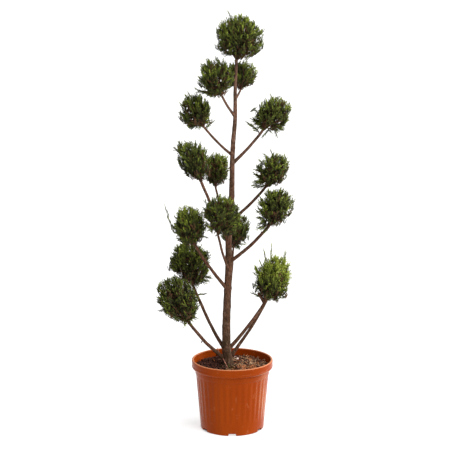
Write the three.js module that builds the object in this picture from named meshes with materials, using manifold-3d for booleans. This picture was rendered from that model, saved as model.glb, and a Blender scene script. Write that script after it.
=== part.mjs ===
// A potted conifer topiary: one leaning trunk in a nursery pot, with limbs that each end in a clipped ball
// of foliage, and one more ball on the trunk's tip.
// Millimetres, +Z up, origin at the centre of the pot's underside. The front of the plant faces -Y.
import * as THREE from "three";
import { mergeVertices } from "three/addons/utils/BufferGeometryUtils.js";
import Module from "manifold-3d";

const wasm = await Module();
wasm.setup();

// Clearance left between neighbouring pieces
const GAP = 0.3;

// Pot: a tapering moulded plastic container with a rolled rim, a neck band and a notched foot
const POT_HEIGHT = 260;
const RIM_RADIUS = 150;
const RIM_BAND = 24;
const RIM_ROLL = 10;
const RIM_LIP = 8.5;
const NECK_TOP_RADIUS = 139;
const NECK_FOOT_RADIUS = 136.5;
const NECK_BAND = 20;
const NECK_STEP = 2;
const FOOT_RADIUS = 117.5;
const FOOT_CHAMFER = 4;
const POT_WALL = 3;
const POT_SIDES = 36;

// Drain pockets: notches in the foot, each with a slot in its roof
const DRAIN_COUNT = 6;
const DRAIN_WIDTH = 28;
const DRAIN_HEIGHT = 10;
const DRAIN_DEPTH = 24;
const DRAIN_SLOT = [8, 14];
const FIRST_DRAIN_DEG = -90;

// Potting soil: fills the pot to a little under the rim, level where the trunk stands
const SOIL_DROP = 24;
const SOIL_SEAT_RADIUS = 46;
const SOIL_RINGS = [72, 100];
const SOIL_LUMP = 5;

// Trunk: a flared foot, then a steady taper on a line that leans to the right, with a bend to the left behind
// the front ball and a kink near its top
const TRUNK_FOOT_RADIUS = 16.5;
const TRUNK_TIP_RADIUS = 5.2;
const TRUNK_TIP_HEIGHT = 1360;
const TRUNK_FOOT_X = -25;
const TRUNK_LEAN = 38;
const TRUNK_SWEEP = 10;
const TRUNK_SWEEP_SHARE = 0.05;
const TRUNK_SWAY = 2.5;
const TRUNK_SWAY_TURNS = 1.6;
const TRUNK_KINKS = [
  { aside: -6.5, height: 720, spread: 85 },
  { aside: 6, height: 1150, spread: 80 },
];
const FLARE_GROWTH = 0.45;
const FLARE_HEIGHT = 22;
const FLARE_LOBES = 5;
const FLARE_LOBE_DEPTH = 0.12;
const TRUNK_SIDES = 10;
const TRUNK_RINGS = 26;
const TRUNK_RING_CROWDING = 1.25;

// Limbs: a collar where they leave the trunk, a taper, and a bow that leaves flat and turns upwards
const LIMB_COLLAR = 1.35;
const LIMB_COLLAR_SHARE = 0.11;
const LIMB_TIP = 0.8;
const BOW_OUT = 0.55;
const BOW_UP = 0.43;
const LIMB_SIDES = 6;
const LIMB_RINGS = 6;
const LIMB_SAMPLES = 24;

// Where a limb enters its ball, as shares of the ball's half width and half height
const ENTRY_IN = 0.38;
const ENTRY_DOWN = 0.93;

// Balls: a core with pointed tufts, twigs that fan up from the stem, and toothed sprays out to the clipped
// outline. Shares are of the ball's half sizes, counted from its middle. The outline is a slightly squared
// round: the power that squares it is 2 for a plain one.
const SQUARENESS = 2.25;
const CORE_SHARE = 0.74;
const CORE_DETAIL = 1;
const TUFT_SHORTEST = 0.88;
const TUFT_LONGEST = 0.99;
const TUFT_LIFT = 0.18;
const STEM_SHARE = 0.75;
const STEM_SIDES = 6;
const TWIG_COUNT = 4;
const TWIG_START = 0.25;
const TWIG_ROOT_RADIUS = 2.4;
const TWIG_TIP_RADIUS = 1.6;
const TWIG_SIDES = 3;
const TWIG_SCATTER = 0.6;
const TWIG_FAN_LOW = -0.75;
const TWIG_FAN_RISE = 0.35;
const SPRAY_COUNT = 7;
const SPRAY_ROOT = 0.6;
const SPRAY_SHORTEST = 0.96;
const SPRAY_LIFT = 0.22;
const SPRAY_WIDTH = 0.5;
const SPRAY_THICK = 0.2;
const SPRAY_RIDGE = 0.5;
const SHOOT_WIDTH = 0.18;
const WOOD_CLEARANCE = 1.5;
const GOLDEN_ANGLE = Math.PI * (3 - Math.sqrt(5));

// The outline of a spray on the unit square: root, side tooth, notch, tip and shoulder
const SPRAY_OUTLINE = [
  [0, 0],
  [0.5, 0.72],
  [0.16, 0.66],
  [0, 1],
  [-0.42, 0.56],
];

// Shares of a spray's length at which it is kept clear of the wood
const SPRAY_SAMPLES = [0.35, 0.6, 0.8, 1];

// The balls from the top down, one row each: name, height at which its limb leaves the trunk, heading round
// the trunk in degrees (0 right, 90 back), reach of its middle from the trunk's line, height of its middle,
// half width, half height, how far the limb's tip lies to the right of its usual place, half angle in degrees
// of the cone in which it widens from that tip, how far its top leans to the right by its height, and the
// limb's half thickness. The first one sits on the trunk's tip.
const BALL_ROWS = [
  ["top", 0, 0, 9, 1440, 83, 82, 0, 58, -0.05, 0],
  ["upper_back", 1217, 77, 95, 1301, 57, 56, 2, 50, 0.05, 4.4],
  ["upper_left", 1156, 215, 87, 1301, 63, 66, 0, 62, 0, 5.2],
  ["high_left", 1018, 168, 147, 1176, 58, 62, 8, 56, -0.08, 5],
  ["high_right", 988, 12, 140, 1167, 63, 65, -13, 56, 0.17, 6],
  ["middle_left", 712, 168, 140, 990, 56, 78, 4, 48, -0.34, 6.4],
  ["middle_back", 745, 119, 118, 952, 47, 68, -12, 47, 0, 4.8],
  ["middle_right", 776, -8, 148, 968, 55, 66, -5, 48, 0.25, 6],
  ["waist_right", 623, -14, 166, 833, 58, 72, -3, 47, 0.25, 6.6],
  ["waist_front", 594, 256.2, 126, 823, 67, 70, -26, 68, -0.1, 5],
  ["waist_left", 522, 205, 160, 770, 61, 77, 0, 52, -0.05, 6.4],
  ["waist_back", 545, 77, 115, 720, 51, 66, -4, 51, 0.2, 4.4],
  ["low_back", 282, 146, 177, 600, 75, 83, -12, 66, -0.06, 6.6],
  ["low_right", 290, 10, 166, 555, 65, 88, 0, 58, 0.15, 6.8],
  ["low_left", 250, 195, 181, 492, 75, 91, 6, 48, -0.26, 7],
];
const BALLS = BALL_ROWS.map(
  ([name, fork, heading, reach, height, wide, tall, aside, cone, lean, limb]) =>
    ({ name, fork, heading, reach, height, wide, tall, aside, cone, lean, limb }),
);

// Long stray sprays that escaped the shears: heading and rise in degrees, and length from the ball's middle
const SHOOTS = {
  top: [180, 66, 104],
  upper_left: [180, -25, 86],
  high_left: [0, -26, 76],
  high_right: [180, -15, 104],
  middle_left: [180, 44, 96],
  middle_right: [180, -22, 90],
  waist_right: [180, -42, 98],
  waist_front: [178, 8, 76],
  waist_left: [180, 39, 110],
  low_right: [180, 88, 128],
  low_left: [180, 16, 88],
};

// How far to the side of the trunk's middle a limb starts that runs up close beside the trunk.
const SIDE_STARTS = { waist_back: [8, 0, 0] };

// The lowest right ball has a second limb from lower on the trunk, which runs close behind the first: how far
// its start and its end lie from the first one's line, and its thickness by the first
const SECOND_LIMB = { carries: "low_right", fork: 262, start: [8, 8, 0], end: [3, 14, -2], thin: 0.95 };

// Surface finishes
const PLASTIC = new THREE.MeshStandardMaterial({ color: 0xa5481b, roughness: 0.45, metalness: 0 });
const SOIL = new THREE.MeshStandardMaterial({ color: 0x4a382b, roughness: 1, metalness: 0 });
const BARK = new THREE.MeshStandardMaterial({ color: 0x5a4030, roughness: 0.9, metalness: 0 });
const FOLIAGE = new THREE.MeshStandardMaterial({ color: 0x3d5a22, roughness: 0.75, metalness: 0 });

const UP = new THREE.Vector3(0, 0, 1);
const vec = (x, y, z) => new THREE.Vector3(x, y, z);
const radians = THREE.MathUtils.degToRad;

// A repeatable number from 0 to 1: the nth choice of one kind made for a seed.
const CHOICES_PER_KIND = 1000;
const KINDS_PER_SEED = 10;
const KIND = { lump: 0, tuft: 1, twigHeading: 2, twigRise: 3, sprayReach: 4, sprayRoll: 5 };
function chance(seed, kind, n) {
  return THREE.MathUtils.seededRandom((seed * KINDS_PER_SEED + kind) * CHOICES_PER_KIND + n);
}

// A unit vector from a heading round the trunk and a rise above level, both in radians.
function pointing(heading, rise) {
  return vec(Math.cos(heading) * Math.cos(rise), Math.sin(heading) * Math.cos(rise), Math.sin(rise));
}

// A geometry with only its places left, each shared by the faces that meet there.
function shared(geometry) {
  const bare = geometry.clone();
  bare.deleteAttribute("normal");
  bare.deleteAttribute("uv");
  return mergeVertices(bare);
}

// A closed three.js geometry as a solid that can be joined and cut.
function solidOf(geometry) {
  const merged = shared(geometry);
  return new wasm.Manifold(
    new wasm.Mesh({
      numProp: 3,
      vertProperties: new Float32Array(merged.attributes.position.array),
      triVerts: new Uint32Array(merged.index.array),
    }),
  );
}

// The largest body of a solid as a geometry, which drops loose scraps and fills sealed hollows.
function geometryOf(solid) {
  const bodies = solid.decompose().sort((a, b) => b.volume() - a.volume());
  const mesh = bodies[0].getMesh();
  const geometry = new THREE.BufferGeometry();
  geometry.setAttribute("position", new THREE.BufferAttribute(new Float32Array(mesh.vertProperties), 3));
  geometry.setIndex(new THREE.BufferAttribute(new Uint32Array(mesh.triVerts), 1));
  geometry.computeVertexNormals();
  return geometry;
}

// One named piece of the plant.
function piece(name, geometry, material) {
  const mesh = new THREE.Mesh(geometry, material);
  mesh.name = name;
  return mesh;
}

// Moves every vertex of a geometry by a function of its place and its number.
function reshape(geometry, move) {
  const position = geometry.attributes.position;
  const point = vec(0, 0, 0);
  for (let i = 0; i < position.count; i++) {
    point.fromBufferAttribute(position, i);
    const moved = move(point, i);
    position.setXYZ(i, moved.x, moved.y, moved.z);
  }
  return geometry;
}

// A solid turned round the Z axis from a list of [radius, height] pairs.
function turned(profile, sides) {
  const outline = profile.map(([radius, height]) => new THREE.Vector2(radius, height));
  return new THREE.LatheGeometry(outline, sides).rotateX(Math.PI / 2);
}

// Points on a quarter round from one corner of a profile to the next.
function quarterRound(from, to, hollow, steps = 3) {
  return Array.from({ length: steps + 1 }, (_, i) => {
    const angle = (i / steps) * (Math.PI / 2);
    const [a, b] = hollow ? [1 - Math.cos(angle), Math.sin(angle)] : [Math.sin(angle), 1 - Math.cos(angle)];
    return [from[0] + (to[0] - from[0]) * a, from[1] + (to[1] - from[1]) * b];
  });
}

// Heights and radii of the pot that its parts share
const RIM_FOOT = POT_HEIGHT - RIM_BAND;
const NECK_TOP = RIM_FOOT - RIM_ROLL;
const NECK_FOOT = NECK_TOP - NECK_BAND;
const BODY_TOP = NECK_FOOT - NECK_STEP;
const BODY_TOP_RADIUS = NECK_FOOT_RADIUS - NECK_STEP;
const SOIL_TOP = POT_HEIGHT - SOIL_DROP;

// The inside of the pot from the rim to the floor, drawn in by a clearance.
function potLining(clearance) {
  return [
    [NECK_TOP_RADIUS - POT_WALL - clearance, NECK_TOP],
    [BODY_TOP_RADIUS - POT_WALL - clearance, BODY_TOP],
    [FOOT_RADIUS - POT_WALL - clearance, POT_WALL + FOOT_CHAMFER],
    [FOOT_RADIUS - POT_WALL - FOOT_CHAMFER - clearance, POT_WALL + clearance],
    [0, POT_WALL + clearance],
  ];
}

// One wedge-sided block per drain, grown by a margin, running in from the pot's wall.
function drainBlocks(margin, innerReach, outerReach, height) {
  return Array.from({ length: DRAIN_COUNT }, (_, i) => {
    const width = DRAIN_WIDTH + 2 * margin;
    const block = new THREE.BoxGeometry(outerReach - innerReach, width, height);
    block.translate((outerReach + innerReach) / 2, 0, height / 2);
    block.rotateZ(radians(FIRST_DRAIN_DEG + (360 / DRAIN_COUNT) * i));
    return solidOf(block);
  });
}

const DRAIN_INNER = FOOT_RADIUS - DRAIN_DEPTH;

// The roofs over the drain pockets, which stand up from the pot's floor.
function drainRoofs(clearance) {
  const margin = POT_WALL + clearance;
  return drainBlocks(margin, DRAIN_INNER - margin, FOOT_RADIUS - POT_WALL / 2, DRAIN_HEIGHT + margin);
}

function potGeometry() {
  const shell = solidOf(
    turned(
      [
        [0, 0],
        [FOOT_RADIUS - FOOT_CHAMFER, 0],
        [FOOT_RADIUS, FOOT_CHAMFER],
        [BODY_TOP_RADIUS, BODY_TOP],
        [NECK_FOOT_RADIUS, NECK_FOOT],
        ...quarterRound([NECK_TOP_RADIUS, NECK_TOP], [RIM_RADIUS, RIM_FOOT], false),
        ...quarterRound([RIM_RADIUS, POT_HEIGHT - RIM_LIP / 2], [RIM_RADIUS - RIM_LIP / 2, POT_HEIGHT], true),
        [RIM_RADIUS - RIM_LIP, POT_HEIGHT - RIM_LIP / 2],
        ...potLining(0),
      ],
      POT_SIDES,
    ),
  );
  const outside = FOOT_RADIUS + 2 * FOOT_CHAMFER;
  const slots = Array.from({ length: DRAIN_COUNT }, (_, i) => {
    const slot = new THREE.BoxGeometry(DRAIN_SLOT[0], DRAIN_SLOT[1], 4 * DRAIN_HEIGHT);
    slot.translate(FOOT_RADIUS - DRAIN_DEPTH / 2, 0, 0);
    slot.rotateZ(radians(FIRST_DRAIN_DEG + (360 / DRAIN_COUNT) * i));
    return solidOf(slot);
  });
  let pot = shell;
  for (const roof of drainRoofs(0)) pot = pot.add(roof);
  for (const pocket of drainBlocks(0, DRAIN_INNER, outside, DRAIN_HEIGHT)) pot = pot.subtract(pocket);
  for (const slot of slots) pot = pot.subtract(slot);
  return geometryOf(pot);
}

// The soil's top is level round the trunk and lumpy between there and the wall.
function soilGeometry() {
  const lining = potLining(GAP);
  const [wallTop, bodyTop] = lining;
  const slope = (wallTop[0] - bodyTop[0]) / (wallTop[1] - bodyTop[1]);
  const rim = wallTop[0] + slope * (SOIL_TOP - SOIL_LUMP - wallTop[1]);
  const surface = [0, SOIL_SEAT_RADIUS, ...SOIL_RINGS].map((radius) => [radius, SOIL_TOP]);
  const profile = [...surface, [rim, SOIL_TOP - SOIL_LUMP], ...lining.slice(1)];
  const block = turned(profile.toReversed(), POT_SIDES);
  const lumpy = reshape(block, (point) => {
    const radius = Math.hypot(point.x, point.y);
    const lumped = SOIL_RINGS.some((ring) => Math.abs(ring - radius) < 1);
    const angle = Math.atan2(point.y, point.x);
    const side = Math.round((angle / (2 * Math.PI)) * POT_SIDES + POT_SIDES) % POT_SIDES;
    const lift = lumped ? SOIL_LUMP * (2 * chance(Math.round(radius), KIND.lump, side) - 1) : 0;
    return vec(point.x, point.y, point.z + lift);
  });
  let soil = solidOf(lumpy);
  for (const roof of drainRoofs(GAP)) soil = soil.subtract(roof);
  return geometryOf(soil);
}

// Share of the way up the trunk at a height.
const trunkShare = (height) => (height - SOIL_TOP) / (TRUNK_TIP_HEIGHT - SOIL_TOP);

// The middle of the trunk at a height: a lean, a sweep at the foot, a slight sway and its kinks.
function trunkMiddle(height) {
  const share = trunkShare(height);
  const sway = TRUNK_SWAY_TURNS * 2 * Math.PI * share;
  const sweep = TRUNK_SWEEP * Math.exp(-share / TRUNK_SWEEP_SHARE);
  const bend = (kink) => kink.aside * Math.exp(-(((height - kink.height) / kink.spread) ** 2));
  const kink = TRUNK_KINKS.map(bend).reduce((sum, each) => sum + each, 0);
  const x = TRUNK_FOOT_X + TRUNK_LEAN * share + sweep + kink - TRUNK_SWAY * Math.sin(sway);
  return vec(x, TRUNK_SWAY * (1 - Math.cos(sway)), height);
}

// The trunk's half thickness at a height, without its flare.
function trunkRadius(height) {
  return THREE.MathUtils.lerp(TRUNK_FOOT_RADIUS, TRUNK_TIP_RADIUS, trunkShare(height));
}

// How much the roots widen the trunk at a height, on the side that an angle names.
function trunkFlare(height, angle) {
  const lobes = 1 + FLARE_LOBE_DEPTH * Math.cos(FLARE_LOBES * angle);
  return 1 + FLARE_GROWTH * lobes * Math.exp(-(height - SOIL_TOP) / FLARE_HEIGHT);
}

// The trunk with level rings, grown by a margin and reaching that much past its ends.
function trunkGeometry(margin) {
  const foot = SOIL_TOP + GAP - margin;
  const length = TRUNK_TIP_HEIGHT + margin - foot;
  const column = new THREE.CylinderGeometry(1, 1, 1, TRUNK_SIDES, TRUNK_RINGS).rotateX(Math.PI / 2);
  return reshape(column, (point) => {
    const rise = point.z + 0.5;
    const height = foot + length * rise ** TRUNK_RING_CROWDING;
    const angle = Math.atan2(point.y, point.x);
    const middle = trunkMiddle(height);
    const spread = trunkRadius(height) * trunkFlare(height, angle) + margin;
    return vec(middle.x + point.x * spread, middle.y + point.y * spread, height);
  });
}

// The middle of a ball: the trunk's tip carries the first, and limbs carry the rest.
function ballMiddle(ball) {
  const anchor = trunkMiddle(Math.min(ball.height, TRUNK_TIP_HEIGHT)).setZ(ball.height);
  return anchor.addScaledVector(pointing(radians(ball.heading), 0), ball.reach);
}

// The line of a limb, from the trunk to the underside of its ball, with both ends shifted.
function limbLine(ball, fork, startShift, endShift) {
  const heading = radians(ball.heading);
  const inward = ball.wide * ENTRY_IN;
  const start = trunkMiddle(fork).add(startShift);
  const end = ballMiddle(ball)
    .sub(vec(inward * Math.cos(heading), inward * Math.sin(heading), ball.tall * ENTRY_DOWN))
    .add(vec(ball.aside, 0, 0))
    .add(endShift);
  const span = end.clone().sub(start);
  const bow = start.clone().add(vec(span.x * BOW_OUT, span.y * BOW_OUT, span.z * BOW_UP));
  return new THREE.QuadraticBezierCurve3(start, bow, end);
}

// Every limb with its line and its thickness along that line.
function makeLimb(name, ball, line, body) {
  const collar = (LIMB_COLLAR - 1) * body;
  const radiusAt = (share) =>
    body * THREE.MathUtils.lerp(1, LIMB_TIP, share) + collar * Math.exp(-share / LIMB_COLLAR_SHARE);
  return { name, ball: ball.name, line, radiusAt };
}

const straight = vec(0, 0, 0);
const carried = BALLS.filter((ball) => ball.fork);
const limbs = carried.map((ball) => {
  const start = vec(...(SIDE_STARTS[ball.name] ?? [0, 0, 0]));
  const line = limbLine(ball, ball.fork, start, straight);
  return makeLimb(`bough_${ball.name}`, ball, line, ball.limb);
});
const doubled = BALLS.find((ball) => ball.name === SECOND_LIMB.carries);
const secondLine = limbLine(doubled, SECOND_LIMB.fork, vec(...SECOND_LIMB.start), vec(...SECOND_LIMB.end));
limbs.push(makeLimb(`bough_${doubled.name}_second`, doubled, secondLine, doubled.limb * SECOND_LIMB.thin));

// A limb is a cylinder whose rings follow its line, cut clear of the trunk.
function limbGeometry(limb, trunkCutter) {
  const frames = limb.line.computeFrenetFrames(LIMB_RINGS);
  const tube = new THREE.CylinderGeometry(1, 1, 1, LIMB_SIDES, LIMB_RINGS);
  const bent = reshape(tube, (point) => {
    const ring = Math.round((point.y + 0.5) * LIMB_RINGS);
    const share = ring / LIMB_RINGS;
    const side = frames.normals[ring];
    const other = side.clone().cross(frames.tangents[ring]);
    const radius = limb.radiusAt(share);
    return limb.line
      .getPointAt(share)
      .addScaledVector(side, point.x * radius)
      .addScaledVector(other, point.z * radius);
  });
  return geometryOf(solidOf(bent).subtract(trunkCutter));
}

// Places along every limb and the trunk, with their thickness, for keeping foliage clear of them.
function woodPlaces() {
  const places = limbs.flatMap((limb) =>
    Array.from({ length: LIMB_SAMPLES + 1 }, (_, i) => ({
      middle: limb.line.getPointAt(i / LIMB_SAMPLES),
      radius: limb.radiusAt(i / LIMB_SAMPLES),
    })),
  );
  const trunkSteps = 4 * TRUNK_RINGS;
  for (let i = 0; i <= trunkSteps; i++) {
    const height = THREE.MathUtils.lerp(SOIL_TOP, TRUNK_TIP_HEIGHT, i / trunkSteps);
    places.push({ middle: trunkMiddle(height), radius: trunkRadius(height) });
  }
  return places;
}

// A straight tapering rod between two places.
function rod(from, to, fromRadius, toRadius, sides) {
  const along = to.clone().sub(from);
  const geometry = new THREE.CylinderGeometry(toRadius, fromRadius, along.length(), sides, 1);
  geometry.translate(0, along.length() / 2, 0);
  geometry.applyQuaternion(new THREE.Quaternion().setFromUnitVectors(vec(0, 1, 0), along.normalize()));
  return geometry.translate(from.x, from.y, from.z);
}

// A toothed blade from its root to its tip, thick along the middle and thin at its teeth.
function sprayGeometry(root, tip, width, thick, roll) {
  const along = tip.clone().sub(root);
  const length = along.length();
  const ahead = along.normalize();
  const sideways = Math.abs(ahead.z) > Math.abs(ahead.x) ? vec(1, 0, 0) : UP;
  const flat = ahead.clone().cross(sideways).normalize().applyAxisAngle(ahead, roll);
  const face = flat.clone().cross(ahead);
  const teeth = SPRAY_OUTLINE.length;
  const blade = new THREE.SphereGeometry(1, teeth, 2);
  return reshape(blade, (point) => {
    const pole = Math.abs(point.y) > 0.5;
    const turn = Math.atan2(point.z, -point.x) / (2 * Math.PI);
    const corner = SPRAY_OUTLINE[Math.round(turn * teeth + 2 * teeth) % teeth];
    const [across, up] = pole ? [0, SPRAY_RIDGE] : corner;
    return root
      .clone()
      .addScaledVector(flat, across * width)
      .addScaledVector(ahead, up * length)
      .addScaledVector(face, pole ? (Math.sign(point.y) * thick) / 2 : 0);
  });
}

// True where any part of a spray would come against the wood.
function meetsWood(root, tip, width, wood) {
  const samples = SPRAY_SAMPLES.map((share) => root.clone().lerp(tip, share));
  return wood.some(({ middle, radius }) =>
    samples.some((sample) => sample.distanceTo(middle) < radius + width / 2 + WOOD_CLEARANCE),
  );
}

// Where the wood hands over to a ball: the end of each of its limbs, or the trunk's tip.
function ballEntries(ball) {
  const carriers = limbs.filter((limb) => limb.ball === ball.name);
  if (carriers.length === 0) {
    return [{ place: trunkMiddle(TRUNK_TIP_HEIGHT), way: UP.clone(), radius: TRUNK_TIP_RADIUS }];
  }
  return carriers.map(({ line, radiusAt }) => ({
    place: line.getPoint(1),
    way: line.getTangent(1),
    radius: radiusAt(1),
  }));
}

// How far a ball reaches on the side that a way names, as a share of its half sizes: a squared round, drawn
// in towards the entry by the cone in which its twigs fan out from there along an axis.
function outlineShare(ball, axis, way) {
  const level = Math.hypot(way.x, way.y);
  const squared = (level ** SQUARENESS + Math.abs(way.z) ** SQUARENESS) ** (-1 / SQUARENESS);
  const along = way.dot(axis);
  const across = Math.sqrt(Math.max(0, 1 - along * along));
  const slope = Math.tan(radians(ball.cone));
  const room = across - along * slope;
  return room > 0 ? Math.min(squared, slope / room) : squared;
}

// A core of a ball: a faceted round with a pointed tuft over each face, which leans upwards. The function out
// gives the place of a way and a share.
function coreGeometry(seed, out) {
  const round = new THREE.IcosahedronGeometry(1, CORE_DETAIL).attributes.position;
  const corners = Array.from({ length: round.count }, (_, i) => vec(0, 0, 0).fromBufferAttribute(round, i));
  const places = [];
  for (let i = 0; i < corners.length; i += 3) {
    const face = corners.slice(i, i + 3);
    const lean = face[0].clone().add(face[1]).add(face[2]).normalize().addScaledVector(UP, TUFT_LIFT);
    const tuft = THREE.MathUtils.lerp(TUFT_SHORTEST, TUFT_LONGEST, chance(seed, KIND.tuft, i));
    const tip = out(lean.normalize(), tuft);
    const base = face.map((corner) => out(corner.normalize(), CORE_SHARE));
    for (let side = 0; side < 3; side++) places.push(base[side], base[(side + 1) % 3], tip);
  }
  return new THREE.BufferGeometry().setFromPoints(places);
}

// One clipped ball: core, stem, twigs and sprays, fused.
function ballGeometry(ball, seed, wood) {
  const middle = ballMiddle(ball);
  const size = vec(ball.wide, ball.wide, ball.tall);
  const entries = ballEntries(ball);
  const stand = middle.clone().sub(entries[0].place);
  const axis = stand.setX(stand.x - ball.lean * stand.z).divide(size).normalize();
  const out = (way, share) => {
    const off = way.clone().multiply(size).multiplyScalar(share * outlineShare(ball, axis, way));
    return off.setX(off.x + ball.lean * off.z).add(middle);
  };

  const parts = [coreGeometry(seed, out)];

  const stems = entries.map(({ place, way, radius }) => {
    const root = place.clone().addScaledVector(way, GAP);
    return { root, tip: root.clone().addScaledVector(way, ball.tall * STEM_SHARE), radius };
  });
  for (const { root, tip, radius } of stems) {
    parts.push(rod(root, tip, radius, radius * LIMB_TIP, STEM_SIDES));
  }

  const fanRoot = stems[0].root.clone().lerp(stems[0].tip, TWIG_START);
  for (let i = 0; i < TWIG_COUNT; i++) {
    const turn = i + TWIG_SCATTER * chance(seed, KIND.twigHeading, i);
    const rise = TWIG_FAN_LOW + TWIG_FAN_RISE * (2 * chance(seed, KIND.twigRise, i) - 1);
    const twigTip = out(pointing((2 * Math.PI * turn) / TWIG_COUNT, rise), CORE_SHARE);
    parts.push(rod(fanRoot, twigTip, TWIG_ROOT_RADIUS, TWIG_TIP_RADIUS, TWIG_SIDES));
  }

  const addSpray = (root, tip, width, roll) => {
    if (meetsWood(root, tip, width, wood)) return;
    parts.push(sprayGeometry(root, tip, width, width * SPRAY_THICK, roll));
  };
  for (let i = 0; i < SPRAY_COUNT; i++) {
    const rise = Math.asin(1 - (2 * (i + 0.5)) / SPRAY_COUNT);
    const way = pointing(i * GOLDEN_ANGLE + seed, rise);
    const tipWay = way.clone().addScaledVector(UP, SPRAY_LIFT).normalize();
    const reach = THREE.MathUtils.lerp(SPRAY_SHORTEST, 1, chance(seed, KIND.sprayReach, i));
    const roll = 2 * Math.PI * chance(seed, KIND.sprayRoll, i);
    addSpray(out(way, SPRAY_ROOT), out(tipWay, reach), ball.wide * SPRAY_WIDTH, roll);
  }
  if (SHOOTS[ball.name]) {
    const [heading, rise, length] = SHOOTS[ball.name];
    const way = pointing(radians(heading), radians(rise));
    const root = middle.clone().addScaledVector(way, ball.wide * SPRAY_ROOT);
    addSpray(root, middle.clone().addScaledVector(way, length), ball.wide * SHOOT_WIDTH, 0);
  }

  return geometryOf(parts.map(solidOf).reduce((fused, part) => fused.add(part)));
}

const plant = new THREE.Group();

const container = new THREE.Group();
container.add(piece("pot", potGeometry(), PLASTIC));
container.add(piece("potting_soil", soilGeometry(), SOIL));

const woodwork = new THREE.Group();
const trunkCutter = solidOf(trunkGeometry(GAP));
woodwork.add(piece("trunk", trunkGeometry(0), BARK));
for (const limb of limbs) woodwork.add(piece(limb.name, limbGeometry(limb, trunkCutter), BARK));

const crown = new THREE.Group();
const wood = woodPlaces();
BALLS.forEach((ball, seed) => {
  crown.add(piece(`pompon_${ball.name}`, ballGeometry(ball, seed + 1, wood), FOLIAGE));
});

plant.add(container, woodwork, crown);

export default plant;
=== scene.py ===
import math
from typing import NamedTuple

import bmesh
import bpy
import numpy as np
from bpy.props import FloatProperty, FloatVectorProperty, IntProperty, PointerProperty
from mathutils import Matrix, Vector, noise


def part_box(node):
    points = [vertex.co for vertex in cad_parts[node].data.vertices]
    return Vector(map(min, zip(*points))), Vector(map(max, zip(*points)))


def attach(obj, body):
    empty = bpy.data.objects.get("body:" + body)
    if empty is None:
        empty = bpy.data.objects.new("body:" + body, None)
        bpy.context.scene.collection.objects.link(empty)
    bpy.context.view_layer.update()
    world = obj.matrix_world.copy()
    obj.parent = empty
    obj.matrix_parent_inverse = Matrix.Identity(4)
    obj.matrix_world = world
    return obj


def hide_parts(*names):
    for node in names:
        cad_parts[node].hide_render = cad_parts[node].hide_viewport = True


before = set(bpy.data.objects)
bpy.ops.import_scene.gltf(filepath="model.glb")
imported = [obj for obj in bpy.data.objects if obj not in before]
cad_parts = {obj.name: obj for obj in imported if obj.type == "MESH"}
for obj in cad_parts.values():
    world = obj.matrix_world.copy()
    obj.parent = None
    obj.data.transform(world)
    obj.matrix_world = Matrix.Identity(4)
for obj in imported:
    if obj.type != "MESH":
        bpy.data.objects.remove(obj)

bl_info = {
    "name": "Potted Pompon Topiary",
    "version": (1, 0, 0),
    "blender": (4, 5, 0),
    "location": "3D View > Sidebar > Topiary",
    "description": "Grows a clipped pompon conifer in a plastic nursery pot around its packed frame",
    "category": "Add Mesh",
}

MM = 0.001
BODY = "root"
UP = Vector((0.0, 0.0, 1.0))
WHITE = (1.0, 1.0, 1.0)
BLACK = (0.0, 0.0, 0.0)
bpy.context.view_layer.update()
POT_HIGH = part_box("pot")[1]
TRUNK_LOW, TRUNK_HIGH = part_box("trunk")
GOLDEN_ANGLE = math.pi * (3.0 - math.sqrt(5.0))

# Added to the seed, so that each kind of piece has draws of its own
SCAR_DRAWS = 100
FORM_DRAWS = 200
LITTER_DRAWS = 300
TWIG_DRAWS = 400
TUFT_DRAWS = 500
SPRAY_DRAWS = 700


class Ball(NamedTuple):
    """One clipped ball. Heading is in degrees round the trunk, 0 to the right and 90 to the back, and the
    lengths are in millimetres. Aside moves its limb's tip along X. Cone is the half angle in degrees in which
    twigs fan out from that tip, lean how far its top leans to the right by its height, and limb its limb's
    half thickness. Fresh is its share of bright new growth."""

    name: str
    fork: float
    heading: float
    reach: float
    height: float
    wide: float
    tall: float
    aside: float
    cone: float
    lean: float
    limb: float
    fresh: float


BALLS = (
    Ball("top", 0, 0, 9, 1440, 83, 82, 0, 58, -0.05, 0, 0.42),
    Ball("upper_back", 1217, 77, 95, 1301, 57, 56, 2, 50, 0.05, 4.4, 0.35),
    Ball("upper_left", 1156, 215, 87, 1301, 63, 66, 0, 62, 0.0, 5.2, 0.15),
    Ball("high_left", 1018, 168, 147, 1176, 58, 62, 8, 56, -0.08, 5.0, 0.45),
    Ball("high_right", 988, 12, 140, 1167, 63, 65, -13, 56, 0.17, 6.0, 0.4),
    Ball("middle_left", 712, 168, 140, 990, 56, 78, 4, 48, -0.34, 6.4, 0.15),
    Ball("middle_back", 745, 119, 118, 952, 47, 68, -12, 47, 0.0, 4.8, 0.65),
    Ball("middle_right", 776, -8, 148, 968, 55, 66, -5, 48, 0.25, 6.0, 0.3),
    Ball("waist_right", 623, -14, 166, 833, 58, 72, -3, 47, 0.25, 6.6, 0.25),
    Ball("waist_front", 594, 256.2, 126, 823, 67, 70, -26, 68, -0.1, 5.0, 0.2),
    Ball("waist_left", 522, 205, 160, 770, 61, 77, 0, 52, -0.05, 6.4, 0.25),
    Ball("waist_back", 545, 77, 115, 720, 51, 66, -4, 51, 0.2, 4.4, 0.4),
    Ball("low_back", 282, 146, 177, 600, 75, 83, -12, 66, -0.06, 6.6, 0.35),
    Ball("low_right", 290, 10, 166, 555, 65, 88, 0, 58, 0.15, 6.8, 1.3),
    Ball("low_left", 250, 195, 181, 492, 75, 91, 6, 48, -0.26, 7.0, 0.0),
)
DOUBLED = "low_right"


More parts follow.
